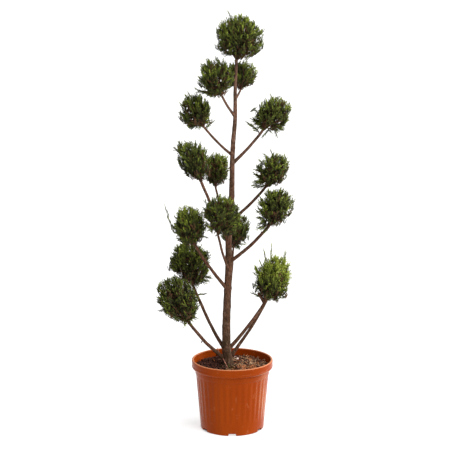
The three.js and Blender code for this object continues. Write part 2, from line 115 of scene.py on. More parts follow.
class Shoot(NamedTuple):
    """Growth that stands out of a ball: heading and rise in degrees, length from the ball's middle in mm and
    how many tufts share it. With a steepness it is one feathery shoot that turns up by so much, without one
    the tufts are bunched. Full is how wide it is, 1 for a usual one."""

    heading: float
    rise: float
    length: float
    tufts: int
    steep: float | None = None
    full: float = 1.0


SHOOTS = {
    "top": (
        Shoot(180, 66, 107, 4, -0.05, 0.7),
        Shoot(180, -14, 85, 6),
        Shoot(180, -38, 90, 5),
        Shoot(180, -51, 90, 7),
        Shoot(180, -81, 88, 6),
        Shoot(0, -28, 90, 4, 1.1),
    ),
    "upper_back": (
        Shoot(180, 47, 62, 7),
    ),
    "upper_left": (
        Shoot(180, -25, 88, 7, 0.8, 0.9),
        Shoot(0, -32, 62, 6),
        Shoot(180, 72, 74, 5),
        Shoot(180, -34, 92, 6, 0.6),
        Shoot(180, -66, 76, 8),
        Shoot(180, -26, 60, 6),
        Shoot(180, -80, 72, 4),
    ),
    "high_left": (
        Shoot(180, -5, 61, 4, 0.96),
        Shoot(180, 25, 63, 3, 0.75),
        Shoot(180, 56, 74, 2, -0.08),
        Shoot(180, 67, 79, 2, -0.25, 0.7),
        Shoot(180, -57, 66, 7),
        Shoot(180, -79, 70, 7),
        Shoot(180, -80, 74, 2, 0.3),
        Shoot(0, -26, 78, 4, 1.2, 1.2),
        Shoot(0, -40, 70, 5),
        Shoot(0, -15, 61, 6),
        Shoot(0, -80, 74, 4),
    ),
    "high_right": (
        Shoot(180, -10, 81, 5),
        Shoot(180, -27, 88, 7),
        Shoot(180, -15, 106, 6, 1.0, 1.1),
        Shoot(180, -38, 88, 12),
        Shoot(180, -10, 78, 6, 1.0),
        Shoot(180, -65, 105, 4, 0.4),
        Shoot(0, -18, 64, 6),
        Shoot(0, -44, 66, 6),
        Shoot(0, -57, 75, 9),
        Shoot(0, -80, 92, 3, 0.2),
        Shoot(0, -62, 62, 6),
        Shoot(0, -23, 64, 6, 0.93),
        Shoot(180, 80, 78, 2, -0.4, 0.7),
    ),
    "middle_left": (
        Shoot(180, 47, 101, 8),
        Shoot(0, 80, 82, 7),
        Shoot(0, 58, 69, 7),
        Shoot(180, -38, 58, 4, 1.0),
    ),
    "middle_back": (
        Shoot(180, 54, 60, 5),
        Shoot(180, -40, 66, 6, 0.3),
        Shoot(2, -40, 62, 4, 0.2),
    ),
    "middle_right": (
        Shoot(180, 10, 72, 7),
        Shoot(180, -3, 78, 4, 0.76),
        Shoot(180, -34, 90, 8),
        Shoot(180, -44, 93, 4, 0.6),
        Shoot(180, 35, 74, 3, 0.1),
        Shoot(180, 58, 74, 3, -0.27),
        Shoot(180, 82, 83, 2, -0.6, 0.7),
        Shoot(180, -26, 68, 7),
        Shoot(180, -40, 100, 5),
    ),
    "waist_right": (
        Shoot(180, 37, 78, 6, 0.65, 1.3),
        Shoot(180, 30, 74, 6),
        Shoot(180, 62, 74, 6),
        Shoot(180, 8, 74, 7, 0.94, 1.3),
        Shoot(180, -3, 78, 6, 0.68, 1.3),
        Shoot(180, -25, 84, 3, 0.62, 1.2),
        Shoot(180, -36, 84, 7),
        Shoot(180, -57, 116, 5),
        Shoot(180, -52, 102, 6),
        Shoot(0, 84, 78, 7),
        Shoot(180, 72, 78, 6),
        Shoot(0, -84, 61, 3, 1.0),
    ),
    "waist_front": (
        Shoot(178, 14, 78, 9),
        Shoot(182, 4, 77, 6),
        Shoot(180, 85, 76, 6),
        Shoot(184, -42, 80, 7),
    ),
    "waist_left": (
        Shoot(180, 43, 122, 12, 1.75, 0.55),
        Shoot(6, -32, 86, 5, 0.2),
        Shoot(180, 70, 82, 6),
        Shoot(0, 60, 76, 6),
    ),
    "waist_back": (
        Shoot(0, -52, 67, 3, 0.2),
        Shoot(0, -78, 75, 7),
    ),
    "low_back": (
        Shoot(186, 32, 86, 4, 0.2),
        Shoot(5, 45, 90, 7),
        Shoot(358, 2, 80, 4, 0.2),
        Shoot(357, -50, 106, 12),
        Shoot(0, -46, 110, 8),
        Shoot(0, 52, 84, 8),
        Shoot(0, 35, 88, 6),
        Shoot(180, 50, 80, 6),
        Shoot(180, 18, 80, 5),
        Shoot(350, -68, 94, 8),
        Shoot(0, -59, 136, 5, 0.95),
    ),
    "low_right": (
        Shoot(180, -80, 90, 8),
        Shoot(0, -78, 84, 6),
        Shoot(180, 88, 140, 8, 1.0, 0.55),
        Shoot(180, 74, 125, 7, 0.3, 0.6),
        Shoot(0, 67, 122, 8, 2.0, 0.8),
        Shoot(0, 81, 90, 4, 1.0),
        Shoot(180, 57, 94, 5, 0.5, 0.6),
        Shoot(0, 48, 87, 5, 1.5),
        Shoot(0, 50, 96, 7),
        Shoot(0, 18, 79, 7),
        Shoot(180, 34, 82, 6),
        Shoot(180, 39, 88, 5, 1.1),
        Shoot(180, -31, 97, 6, 0.9),
        Shoot(0, -31, 70, 4, 1.3),
    ),
    "low_left": (
        Shoot(180, 12, 91, 9),
        Shoot(180, -25, 90, 5, 0.33),
        Shoot(180, -53, 72, 3, 0.2),
        Shoot(180, 52, 92, 7),
        Shoot(0, -22, 76, 5, 0.3),
        Shoot(0, -48, 78, 5, 0.3),
        Shoot(0, -68, 92, 7),
        Shoot(0, -60, 88, 8),
        Shoot(0, -73, 104, 7),
        Shoot(0, -57, 104, 6),
        Shoot(0, -40, 84, 6),
    ),
}


def srgb(red, green, blue):
    """A linear colour from a colour picked on the screen, 0 to 255."""
    return tuple(((value / 255 + 0.055) / 1.055) ** 2.4 for value in (red, green, blue))


def length(name, description, default):
    return FloatProperty(name=name, description=description, default=default, unit="LENGTH")


def share(name, description, default):
    return FloatProperty(name=name, description=description, default=default, subtype="FACTOR")


def number(name, description, default):
    return IntProperty(name=name, description=description, default=default)


def amount(name, description, default):
    return FloatProperty(name=name, description=description, default=default)


def angle(name, description, degrees):
    return FloatProperty(
        name=name, description=description, default=math.radians(degrees), subtype="ANGLE"
    )


def colour(name, description, default):
    return FloatVectorProperty(
        name=name, description=description, default=default, size=3, subtype="COLOR", min=0.0, max=1.0
    )


class PotSettings(bpy.types.PropertyGroup):
    """Sizes and colours of the moulded pot."""

    height: length("Height", "Floor to rim", POT_HIGH.z)
    rim_radius: length("Rim radius", "Outside of the rolled rim", POT_HIGH.x)
    rim_band: length("Rim band", "Height of the band under the rim's edge", 24 * MM)
    rim_roll: length("Rim roll", "Height of the round under the rim band", 10 * MM)
    lip: length("Lip", "Width of the rim seen from above", 8.5 * MM)
    neck_top: length("Neck top radius", "Outside of the neck under the rim", 139 * MM)
    neck_foot: length("Neck foot radius", "Outside of the neck at its lower edge", 136.5 * MM)
    neck_band: length("Neck band", "Height of the smooth neck", 20 * MM)
    neck_step: length("Neck step", "How far the body stands in from the neck", 2 * MM)
    foot_radius: length("Foot radius", "Outside of the body at the floor", 117.5 * MM)
    foot_edge: length("Foot edge", "Rounding of the foot's edge", 4 * MM)
    wall: length("Wall", "Thickness of the moulded wall", 3 * MM)
    floor: length("Floor", "Height of the pot's floor inside", 16 * MM)
    flutes: number("Flutes", "Shallow upright flutes round the body", 36)
    flute_depth: length("Flute depth", "How far a flute is pressed in", 1.4 * MM)
    notches: number("Notches", "Drain notches round the foot", 6)
    notch_width: length("Notch width", "Width of a drain notch", 28 * MM)
    notch_height: length("Notch height", "Height of a drain notch", 10 * MM)
    notch_depth: length("Notch depth", "How far a drain notch runs in", 24 * MM)
    steps: number("Steps", "Steps of the turned body round its axis", 288)
    body_colour: colour("Plastic", "Terracotta plastic", srgb(146, 57, 3))
    deep_colour: colour("Deep plastic", "Plastic where it is stained darker", srgb(132, 48, 2))
    # The scuff colour is also the colour of the painted highlight along the lip
    scuff_and_highlight_colour: colour("Scuffs", "Pale dust and rubbed edges", srgb(214, 142, 100))


class SoilSettings(bpy.types.PropertyGroup):
    """Sizes and colours of the potting soil and what lies on it."""

    level: length("Level", "Height of the soil's top", TRUNK_LOW.z)
    radius: length("Radius", "Where the soil meets the pot's wall", 137.4 * MM)
    foot: length("Foot radius", "Where the soil that is modelled ends below", 131 * MM)
    depth: length("Depth", "Depth of soil that is modelled", 28 * MM)
    lump: length("Lumps", "Height of the lumps in the surface", 4 * MM)
    litter: number("Litter", "Dry scraps on the soil", 480)
    crumbs: number("Crumbs", "Dark bark crumbs on the soil", 620)
    moss: number("Moss", "Green moss blades near the trunk", 260)
    strip: number("Rust strip", "Rusty fibres in the strip at the front right", 220)
    litter_length: length("Litter length", "Length of a dry scrap", 27 * MM)
    dark_colour: colour("Dark soil", "Moist soil", srgb(48, 30, 22))
    light_colour: colour("Light soil", "Soil that has dried", srgb(98, 68, 48))
    straw_colour: colour("Straw", "Dry litter", srgb(196, 158, 122))
    rust_colour: colour("Rust litter", "Reddish dry litter", srgb(186, 116, 72))
    bark_colour: colour("Bark crumbs", "Dark reddish bark crumbs", srgb(86, 48, 36))
    moss_colour: colour("Moss", "Moss and seedlings", srgb(92, 104, 40))
    twig_colour: colour("Dry twigs", "Dry twigs at the foot of the lowest limb", srgb(172, 116, 98))
    pebble_colour: colour("Pebbles", "Pale pinkish pebbles", srgb(230, 204, 190))


class WoodSettings(bpy.types.PropertyGroup):
    """The trunk and its limbs, by the same rule as the solids."""

    foot: length("Foot height", "Where the trunk leaves the soil", TRUNK_LOW.z)
    tip: length("Tip height", "Where the trunk ends in the top ball", TRUNK_HIGH.z)
    foot_radius: length("Foot radius", "Half thickness at the foot", 16.5 * MM)
    tip_radius: length("Tip radius", "Half thickness at the tip", 5.2 * MM)
    foot_x: length("Foot offset", "Sideways place of the foot", -25 * MM)
    lean: length("Lean", "How far the tip leans to the right", 38 * MM)
    sweep: length("Sweep", "Kick to the right at the foot", 10 * MM)
    sweep_share: share("Sweep height", "Share of the trunk that the sweep takes", 0.05)
    sway: length("Sway", "Slight waviness of the trunk", 2.5 * MM)
    sway_turns: amount("Sway turns", "Waves from foot to tip", 1.6)
    kink: length("Kink", "How far the trunk bends out to the right near its top", 6 * MM)
    kink_height: length("Kink height", "Where the trunk bends out", 1.15)
    kink_spread: length("Kink spread", "How much of the trunk the bend takes", 80 * MM)
    waist_bend: length("Waist bend", "How far the trunk bends to the left behind the front ball", 6.5 * MM)
    waist_height: length("Waist bend height", "Where the trunk bends to the left", 720 * MM)
    waist_spread: length("Waist bend spread", "How much of the trunk that bend takes", 85 * MM)
    flare: share("Flare", "How much the roots widen the foot", 0.45)
    flare_height: length("Flare height", "How fast the flare fades", 22 * MM)
    flare_lobes: number("Flare lobes", "Root ridges round the foot", 5)
    flare_lobe_depth: share("Flare lobe depth", "Depth of the root ridges", 0.12)
    limb_collar: share("Limb collar", "Swelling where a limb leaves the trunk", 0.35)
    limb_collar_share: share("Collar length", "Share of the limb that the collar takes", 0.11)
    limb_tip: share("Limb tip", "Thickness left at a limb's tip", 0.8)
    bow_out: share("Bow out", "How far out a limb turns upwards", 0.55)
    bow_up: share("Bow up", "How far up a limb turns upwards", 0.43)
    entry_in: share("Entry in", "Where a limb enters its ball, towards the trunk", 0.38)
    entry_down: share("Entry down", "Where a limb enters its ball, below its middle", 0.93)
    limb_bends: length("Limb bends", "Small crooks along a limb", 3 * MM)
    second_fork: length("Second fork", "Height of the second limb's fork", 262 * MM)
    second_thin: share("Second limb", "Thickness of the second limb by the first", 0.95)
    relief: length("Bark relief", "Depth of the bark's ridges", 0.9 * MM)
    scars: number("Scars", "Healed scars of cut twigs on the trunk", 70)
    scar_height: length("Scar height", "How far a scar stands out", 2.4 * MM)
    red_colour: colour("Red bark", "Young reddish bark", srgb(108, 70, 52))
    dark_colour: colour("Dark bark", "Cracks in the bark", srgb(46, 31, 23))
    grey_colour: colour("Grey bark", "Weathered flakes", srgb(136, 112, 94))
    olive_colour: colour("Olive bark", "Algae low on the trunk", srgb(62, 48, 29))
    young_colour: colour("Young bark", "Pale bark near the tip", srgb(128, 96, 80))
    twig_colour: colour("Twigs", "Bare twigs in the balls", srgb(98, 66, 48))


class FoliageSettings(bpy.types.PropertyGroup):
    """The sprays of scale leaves that the balls are made of."""

    tufts: number("Tufts", "Tufts of sprays on a ball of middling size", 370)
    tuft_sprays: number("Tuft sprays", "Sprays that make a tuft", 4)
    inner: share("Inner tufts", "Share of the tufts that end inside the ball", 0.4)
    bare_from: share("Bare from", "Share of a ball's depth at which its tufts begin to thin out", 0.62)
    underside: share("Underside", "Share of a ball's depth that carries tufts", 1.0)
    spray_length: length("Spray length", "Length of a spray", 24 * MM)
    side_leaves: number("Side leaves", "Leaf shoots along a spray", 10)
    spine_leaves: number("Spine leaves", "Leaf shoots that make a spray's spine", 3)
    leaf_width: share("Leaf width", "Width of a leaf shoot by the spray's length", 0.112)
    collar: number("Collar tufts", "Tufts round the leader just over the entry", 12)
    twigs: number("Main twigs", "Twigs that fan up from a limb's tip", 10)
    # The darker greens stand partly for old leaves and partly for painted shade deep in a ball, and the paler
    # ones partly for new tips and partly for painted light
    shade_colour: colour("Shade green", "Old leaves deep in a ball", srgb(38, 38, 18))
    deep_colour: colour("Deep green", "Darker leaves", srgb(52, 56, 24))
    mid_colour: colour("Middle green", "Most leaves", srgb(78, 85, 35))
    clear_colour: colour("Clear green", "This year's leaves", srgb(104, 115, 45))
    fresh_colour: colour("Fresh green", "New tips", srgb(137, 150, 50))
    pale_colour: colour("Pale green", "Newest tips", srgb(174, 187, 76))
    dry_colour: colour("Dry brown", "Dead inner leaves", srgb(102, 74, 48))


class StageSettings(bpy.types.PropertyGroup):
    """Camera, floor and light."""

    camera_x: length("Camera across", "Sideways place of the camera", -0.023)
    camera_distance: length("Camera distance", "Distance in front of the pot's middle", 4.6)
    camera_height: length("Camera height", "Height of the camera", 1.612)
    camera_pitch: angle("Camera pitch", "How far the camera looks down", 10.5)
    lens: FloatProperty(name="Lens", description="Focal length", default=102.6, unit="CAMERA")
    floor_radius: length("Floor radius", "Radius of the pale floor", 400.0)
    floor_glow: share("Floor glow", "Share of the floor's white that needs no light", 0.7)
    lit_x: length("Lit across", "Sideways place of the bright floor that the pot mirrors", 0.4)
    lit_y: length("Lit depth", "Place to the back of the bright floor that the pot mirrors", 0.1)
    lit_radius: length("Lit radius", "Radius of the bright floor", 0.25)
    lit_glow: amount("Lit glow", "Strength of the bright floor", 3.4)
    lit_tint: colour("Lit tint", "Warm white of the bright floor", (1.0, 0.86, 0.56))
    shade_radius: length("Shade radius", "Radius of the dark floor under the pot", 117 * MM)
    shade_front: length("Shade front", "How far to the front the dark floor runs", 88 * MM)
    sky: share("Sky", "Strength of the soft light from all round", 0.45)
    sun: amount("Key light", "Strength of the key light", 2.7)
    softness: angle("Softness", "Angle that each of the two lights fills", 40)
    sun_heading: angle("Key heading", "Way round that the key light comes from", -45)
    sun_rise: angle("Key rise", "Height of the key light over the floor", 40)
    side: amount("Side light", "Strength of the light from the right", 2.6)
    side_heading: angle("Side heading", "Way round that the side light comes from", 22)
    side_rise: angle("Side rise", "Height of the side light over the floor", 25)


class TopiarySettings(bpy.types.PropertyGroup):
    """Everything that a user would change, and the seed of every random choice."""

    pot: PointerProperty(type=PotSettings)
    soil: PointerProperty(type=SoilSettings)
    wood: PointerProperty(type=WoodSettings)
    foliage: PointerProperty(type=FoliageSettings)
    stage: PointerProperty(type=StageSettings)
    seed: number("Seed", "Start of every random choice", 11)


def show(mesh, materials, slot, *nodes):
    """Puts a finished mesh in the scene as a piece of the plant that stands for some nodes of the frame."""
    piece = bpy.data.objects.new(mesh.name, mesh)
    bpy.context.scene.collection.objects.link(piece)
    for material in materials:
        mesh.materials.append(material)
    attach(piece, BODY)
    if nodes:
        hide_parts(*nodes)


def mesh_of(shape, name, smooth_under=None):
    """The mesh of a finished bmesh, shaded smooth across edges flatter than an angle in degrees."""
    bmesh.ops.recalc_face_normals(shape, faces=shape.faces)
    mesh = bpy.data.meshes.new(name)
    shape.to_mesh(mesh)
    shape.free()
    if smooth_under is not None:
        mesh.shade_smooth()
        mesh.set_sharp_from_angle(angle=math.radians(smooth_under))
    return mesh


def mesh_from_arrays(name, places, triangles, tints=None):
    """A mesh of many small closed pieces from their corners and triangles."""
    mesh = bpy.data.meshes.new(name)
    mesh.vertices.add(len(places))
    mesh.vertices.foreach_set("co", places.astype(np.float32).ravel())
    mesh.loops.add(3 * len(triangles))
    mesh.loops.foreach_set("vertex_index", triangles.astype(np.int32).ravel())
    mesh.polygons.add(len(triangles))
    mesh.polygons.foreach_set("loop_start", np.arange(0, 3 * len(triangles), 3, dtype=np.int32))
    if tints is not None:
        mesh.polygons.foreach_set("material_index", tints.astype(np.int32))
    mesh.update(calc_edges=True)
    return mesh


class Finish:
    """A procedural material, built up from nodes on object coordinates."""

    def __init__(self, name, roughness, specular):
        self.material = bpy.data.materials.new(name)
        self.material.use_nodes = True
        self.nodes = self.material.node_tree.nodes
        self.links = self.material.node_tree.links
        self.shader = self.nodes["Principled BSDF"]
        self.shader.inputs["Roughness"].default_value = roughness
        self.shader.inputs["Specular IOR Level"].default_value = specular
        self.coords = None

    def feed(self, socket, value):
        """Gives a socket a plain colour, or what a node puts out."""
        if isinstance(value, bpy.types.NodeSocket):
            self.links.new(value, socket)
        else:
            socket.default_value = (*value, 1.0)

    def wear(self, socket, value):
        """Gives one of the shader's own sockets a plain colour, or what a node puts out."""
        self.feed(self.shader.inputs[socket], value)
        return self

    def place(self):
        """The object coordinates."""
        if self.coords is None:
            self.coords = self.nodes.new("ShaderNodeTexCoord").outputs["Object"]
        return self.coords

    def mapped(self, scale, move=(0.0, 0.0, 0.0)):
        """The object coordinates, scaled along each axis and then moved."""
        mapping = self.nodes.new("ShaderNodeMapping")
        mapping.inputs["Scale"].default_value = scale
        mapping.inputs["Location"].default_value = move
        self.links.new(self.place(), mapping.inputs["Vector"])
        return mapping.outputs["Vector"]

    def noise(self, scale, detail, stretch=(1.0, 1.0, 1.0), roughness=0.55):
        """A noise pattern, finer with a larger scale and squeezed along each axis by stretch."""
        pattern = self.nodes.new("ShaderNodeTexNoise")
        pattern.inputs["Scale"].default_value = scale
        pattern.inputs["Detail"].default_value = detail
        pattern.inputs["Roughness"].default_value = roughness
        self.links.new(self.mapped(stretch), pattern.inputs["Vector"])
        return pattern.outputs["Fac"]

    def axis(self, axis, low, high):
        """0 at one height or place along an axis and 1 at another."""
        split = self.nodes.new("ShaderNodeSeparateXYZ")
        self.links.new(self.place(), split.inputs["Vector"])
        span = self.nodes.new("ShaderNodeMapRange")
        span.inputs["From Min"].default_value = low
        span.inputs["From Max"].default_value = high
        self.links.new(split.outputs[axis], span.inputs["Value"])
        return span.outputs["Result"]

    def nearness(self, radius, middle=(0.0, 0.0, 0.0)):
        """1 at a place and 0 from a radius on."""
        fall = self.nodes.new("ShaderNodeTexGradient")
        fall.gradient_type = "SPHERICAL"
        reach = self.mapped((1.0 / radius,) * 3, [-value / radius for value in middle])
        self.links.new(reach, fall.inputs["Vector"])
        return fall.outputs["Fac"]

    def ramp(self, factor, stops):
        """Colours or grey values by a factor, as pairs of place and colour."""
        ramp = self.nodes.new("ShaderNodeValToRGB")
        elements = ramp.color_ramp.elements
        while len(elements) < len(stops):
            elements.new(0.5)
        for element, (place, value) in zip(elements, stops):
            element.position = place
            shade = (value,) * 3 if isinstance(value, float) else tuple(value)
            element.color = (*shade, 1.0)
        self.links.new(factor, ramp.inputs["Fac"])
        return ramp.outputs["Color"]

    def mix(self, factor, first, second):
        """One colour over another by a factor."""
        mix = self.nodes.new("ShaderNodeMix")
        mix.data_type = "RGBA"
        self.links.new(factor, mix.inputs["Factor"])
        self.feed(mix.inputs["A"], first)
        self.feed(mix.inputs["B"], second)
        return mix.outputs["Result"]

    def bump(self, height, strength, depth):
        """Fine relief of a depth in metres."""
        bump = self.nodes.new("ShaderNodeBump")
        bump.inputs["Strength"].default_value = strength
        bump.inputs["Distance"].default_value = depth
        self.links.new(height, bump.inputs["Height"])
        self.links.new(bump.outputs["Normal"], self.shader.inputs["Normal"])
        return self


WARM_GLOSS = (1.0, 0.78, 0.46)
# Depth of the painted highlight along the top of the lip
PAINTED_LIP_HIGHLIGHT = 3 * MM


def plastic_finish(pot):
    """Moulded terracotta plastic with faint stains, pale scuffs and a painted highlight along the lip."""
    finish = Finish("pot_plastic", roughness=0.26, specular=0.1).wear("Specular Tint", WARM_GLOSS)
    blots = finish.noise(scale=9.0, detail=5.0, stretch=(1.0, 1.0, 0.35))
    stains = finish.ramp(blots, ((0.35, 0.0), (0.68, 1.0)))
    grazes = finish.noise(scale=60.0, detail=6.0, stretch=(1.0, 1.0, 0.5), roughness=0.7)
    scuffs = finish.ramp(grazes, ((0.6, 0.0), (0.8, 0.35)))
    # Painted highlight: the top of the lip is mixed towards the pale scuff colour
    highlit = finish.ramp(finish.axis("Z", pot.height - PAINTED_LIP_HIGHLIGHT, pot.height), ((0.0, 0.0), (0.7, 0.8)))
    body = finish.mix(stains, pot.body_colour, pot.deep_colour)
    worn = finish.mix(scuffs, body, pot.scuff_and_highlight_colour)
    finish.wear("Base Color", finish.mix(highlit, worn, pot.scuff_and_highlight_colour))
    gloss = finish.noise(scale=40.0, detail=4.0)
    finish.wear("Roughness", finish.ramp(gloss, ((0.3, 0.2), (0.7, 0.32))))
    return finish.bump(finish.noise(scale=420.0, detail=3.0), strength=0.08, depth=0.4 * MM).material


DRY_SOIL = (-30 * MM, 50 * MM)


def soil_finish(soil):
    """Moist crumbly soil, drier and paler to the right."""
    finish = Finish("potting_soil", roughness=0.95, specular=0.2)
    crumbs = finish.noise(scale=95.0, detail=6.0, roughness=0.7)
    dark = finish.ramp(crumbs, ((0.35, soil.dark_colour), (0.75, soil.bark_colour)))
    pale = finish.ramp(crumbs, ((0.35, soil.bark_colour), (0.7, soil.light_colour)))
    finish.wear("Base Color", finish.mix(finish.axis("X", *DRY_SOIL), dark, pale))
    return finish.bump(crumbs, strength=0.8, depth=3.0 * MM).material


YOUNG_FROM = 500 * MM
ALGAE_TOP = 700 * MM


def bark_finish(name, wood, algae_share):
    """Reddish bark with dark cracks and grey flakes, olive low down and paler towards the tip."""
    finish = Finish(name, roughness=0.9, specular=0.15)
    cracks = finish.noise(scale=210.0, detail=6.0, stretch=(1.0, 1.0, 0.4), roughness=0.75)
    scales = finish.noise(scale=90.0, detail=5.0, stretch=(1.0, 1.0, 0.6), roughness=0.75)
    damp = finish.noise(scale=34.0, detail=4.0, stretch=(1.0, 1.0, 0.7))
    open_bark = finish.ramp(cracks, ((0.38, 0.0), (0.56, 1.0)))
    flakes = finish.ramp(scales, ((0.52, 0.0), (0.68, 0.7)))
    blotches = finish.ramp(damp, ((0.42, 0.0), (0.62, 0.7)))
    young = finish.ramp(finish.axis("Z", wood.foot + YOUNG_FROM, wood.tip), ((0.0, 0.0), (1.0, 0.9)))
    low = finish.axis("Z", wood.foot, wood.foot + ALGAE_TOP)
    algae = finish.ramp(low, ((0.0, algae_share), (1.0, 0.0)))
    clean = finish.mix(young, wood.red_colour, wood.young_colour)
    body = finish.mix(algae, clean, wood.olive_colour)
    stained = finish.mix(blotches, body, wood.olive_colour)
    weathered = finish.mix(flakes, stained, wood.grey_colour)
    finish.wear("Base Color", finish.mix(open_bark, wood.dark_colour, weathered))
    return finish.bump(cracks, strength=1.0, depth=1.6 * MM).material


def twig_finish(wood):
    """Thin brown bark."""
    finish = Finish("twig_bark", roughness=0.85, specular=0.2)
    stops = ((0.35, wood.dark_colour), (0.65, wood.twig_colour))
    return finish.wear("Base Color", finish.ramp(finish.noise(scale=180.0, detail=3.0), stops)).material


def leaf_finish(name, tint):
    """Waxy scale leaves of one plain colour."""
    return Finish(name, roughness=0.65, specular=0.2).wear("Base Color", tint).material


SCRAP_DARK = 0.6


def scrap_finish(name, tint, roughness=0.9):
    """A dry, dull scrap with a little unevenness in its colour."""
    finish = Finish(name, roughness, specular=0.2)
    stops = ((0.35, [SCRAP_DARK * value for value in tint]), (0.6, tint))
    return finish.wear("Base Color", finish.ramp(finish.noise(scale=160.0, detail=3.0), stops)).material


MERGE_UNDER = 0.01 * MM


def turned(section, steps):
    """A bmesh turned round the upright axis from a section of radii and heights."""
    shape = bmesh.new()
    corners = [shape.verts.new((radius, 0.0, height)) for radius, height in section]
    edges = [shape.edges.new(pair) for pair in zip(corners, corners[1:])]
    bmesh.ops.spin(
        shape,
        geom=corners + edges,
        cent=(0.0, 0.0, 0.0),
        axis=UP,
        angle=2 * math.pi,
        steps=steps,
        use_merge=True,
    )
    bmesh.ops.remove_doubles(shape, verts=shape.verts, dist=MERGE_UNDER)
    return shape


class PotRows(NamedTuple):
    """Heights at which the pot's section changes, and the radius at the top of its body."""

    rim_foot: float
    neck_top: float
    neck_foot: float
    body_top: float
    body_radius: float


def pot_rows(pot):
    """The rows that the pot's outside and inside share."""
    rim_foot = pot.height - pot.rim_band
    neck_top = rim_foot - pot.rim_roll
    neck_foot = neck_top - pot.neck_band
    return PotRows(rim_foot, neck_top, neck_foot, neck_foot - pot.neck_step, pot.neck_foot - pot.neck_step)


def arc(middle, radius, start, end, steps):
    """Points on an arc in a profile, by angles in degrees from the way out."""
    turns = (math.radians(start + (end - start) * step / steps) for step in range(steps + 1))
    return [(middle[0] + radius * math.cos(turn), middle[1] + radius * math.sin(turn)) for turn in turns]


def body_wall(pot, height):
    """Outside radius of the pot's tapering body at a height."""
    rows = pot_rows(pot)
    widening = (rows.body_radius - pot.foot_radius) * (height - pot.foot_edge)
    return pot.foot_radius + widening / (rows.body_top - pot.foot_edge)


BODY_ROWS = 18
ROUND_STEPS = 6
NECK_EDGE = 0.3 * MM
BEAD_FOOT = 1.5 * MM
BEAD_TOP = 3.0 * MM
BEAD_STEP = 0.8 * MM


def pot_profile(pot):
    """The pot's section as radius and height, from the underside up the outside and down the inside."""
    rows = pot_rows(pot)
    inner_notch = pot.foot_radius - pot.notch_depth
    edge = pot.foot_edge
    foot = [(0.0, 0.0), (inner_notch - pot.wall / 2, 0.0), (inner_notch, 0.0)]
    foot += arc((pot.foot_radius - edge, edge), edge, -90, 0, ROUND_STEPS)
    body_foot = pot.notch_height + pot.wall / 2
    body = []
    for row in range(BODY_ROWS + 1):
        height = body_foot + (rows.body_top - body_foot) * row / BODY_ROWS
        body.append((body_wall(pot, height), height))
    neck = [
        (pot.neck_foot - NECK_EDGE, rows.neck_foot - NECK_EDGE),
        (pot.neck_foot, rows.neck_foot + 2 * NECK_EDGE),
    ]
    roll = pot.rim_radius - pot.neck_top
    under_rim = [(pot.neck_top, rows.neck_top)]
    for step in range(1, ROUND_STEPS + 1):
        turn = math.pi / 2 * step / ROUND_STEPS
        radius = pot.neck_top + roll * math.sin(turn)
        under_rim.append((radius, rows.rim_foot - pot.rim_roll * math.cos(turn)))
    bead = [
        (pot.rim_radius, rows.rim_foot + BEAD_FOOT),
        (pot.rim_radius - BEAD_STEP, rows.rim_foot + BEAD_TOP),
    ]
    half_lip = pot.lip / 2
    lip = arc((pot.rim_radius - half_lip, pot.height - half_lip), half_lip, 0, 180, 2 * ROUND_STEPS)
    inside = [
        (pot.neck_top - pot.wall, rows.neck_top),
        (rows.body_radius - pot.wall, rows.body_top),
        (pot.foot_radius - pot.wall, pot.floor + pot.wall),
        (pot.foot_radius - 2 * pot.wall, pot.floor),
        (0.0, pot.floor),
    ]
    return foot + body + neck + under_rim + bead + lip + inside


FIRST_NOTCH = -math.pi / 2
ON_WALL = 0.1 * MM

# Where the flutes start and how they fade in and out, as shares of the body's height
FLUTE_FROM = 0.1
FLUTE_FADE_IN = 0.2
FLUTE_FADE_OUT = 1 / 16


def clamped(value):
    return min(1.0, max(0.0, value))


def press_pot(pot, shape):
    """Presses the flutes into the body and lifts the notches out of the foot."""
    body_top = pot_rows(pot).body_top
    inner_notch = pot.foot_radius - pot.notch_depth
    pitch = 2 * math.pi / pot.notches
    for vert in shape.verts:
        radius = math.hypot(vert.co.x, vert.co.y)
        if radius < inner_notch - ON_WALL:
            continue
        turn = math.atan2(vert.co.y, vert.co.x)
        off = (turn - FIRST_NOTCH + pitch / 2) % pitch - pitch / 2
        if vert.co.z < pot.notch_height and abs(off) * pot.foot_radius < pot.notch_width / 2:
            vert.co.z = pot.notch_height
        if abs(radius - body_wall(pot, vert.co.z)) < ON_WALL:
            rise = (vert.co.z - pot.notch_height) / (body_top - pot.notch_height)
            fade = clamped((rise - FLUTE_FROM) / FLUTE_FADE_IN) * clamped((1.0 - rise) / FLUTE_FADE_OUT)
            wave = 0.5 - 0.5 * math.cos(pot.flutes * turn)
            inward = pot.flute_depth * fade * wave / radius
            vert.co.x -= vert.co.x * inward
            vert.co.y -= vert.co.y * inward


class TOPIARY_OT_mould_pot(bpy.types.Operator):
    """Turn the pot's section, press its flutes and notches, and finish it as satin plastic"""

    bl_idname = "topiary.mould_pot"
    bl_label = "Mould Pot"

    def execute(self, context):
        pot = context.scene.topiary.pot
        shape = turned(pot_profile(pot), pot.steps)
        press_pot(pot, shape)
        show(mesh_of(shape, "moulded_pot", smooth_under=28), [plastic_finish(pot)], "pot_plastic", "pot")
        return {"FINISHED"}


LUMPS_PER_METRE = 38
LUMP_LAYER = 0.7
LUMP_FRACTAL = (0.9, 2.0, 4)
SINK_FROM = 0.8
SINK = 18 * MM


def soil_height(soil, x, y):
    """Height of the lumpy soil at a place. It sinks a little towards the pot's wall."""
    spot = Vector((x * LUMPS_PER_METRE, y * LUMPS_PER_METRE, LUMP_LAYER))
    sunk = max(0.0, math.hypot(x, y) / soil.radius - SINK_FROM) * SINK
    return soil.level + soil.lump * noise.fractal(spot, *LUMP_FRACTAL) - sunk


class Pebble(NamedTuple):
    """A pebble's place on the soil and its radius, in millimetres."""

    x: float
    y: float
    radius: float


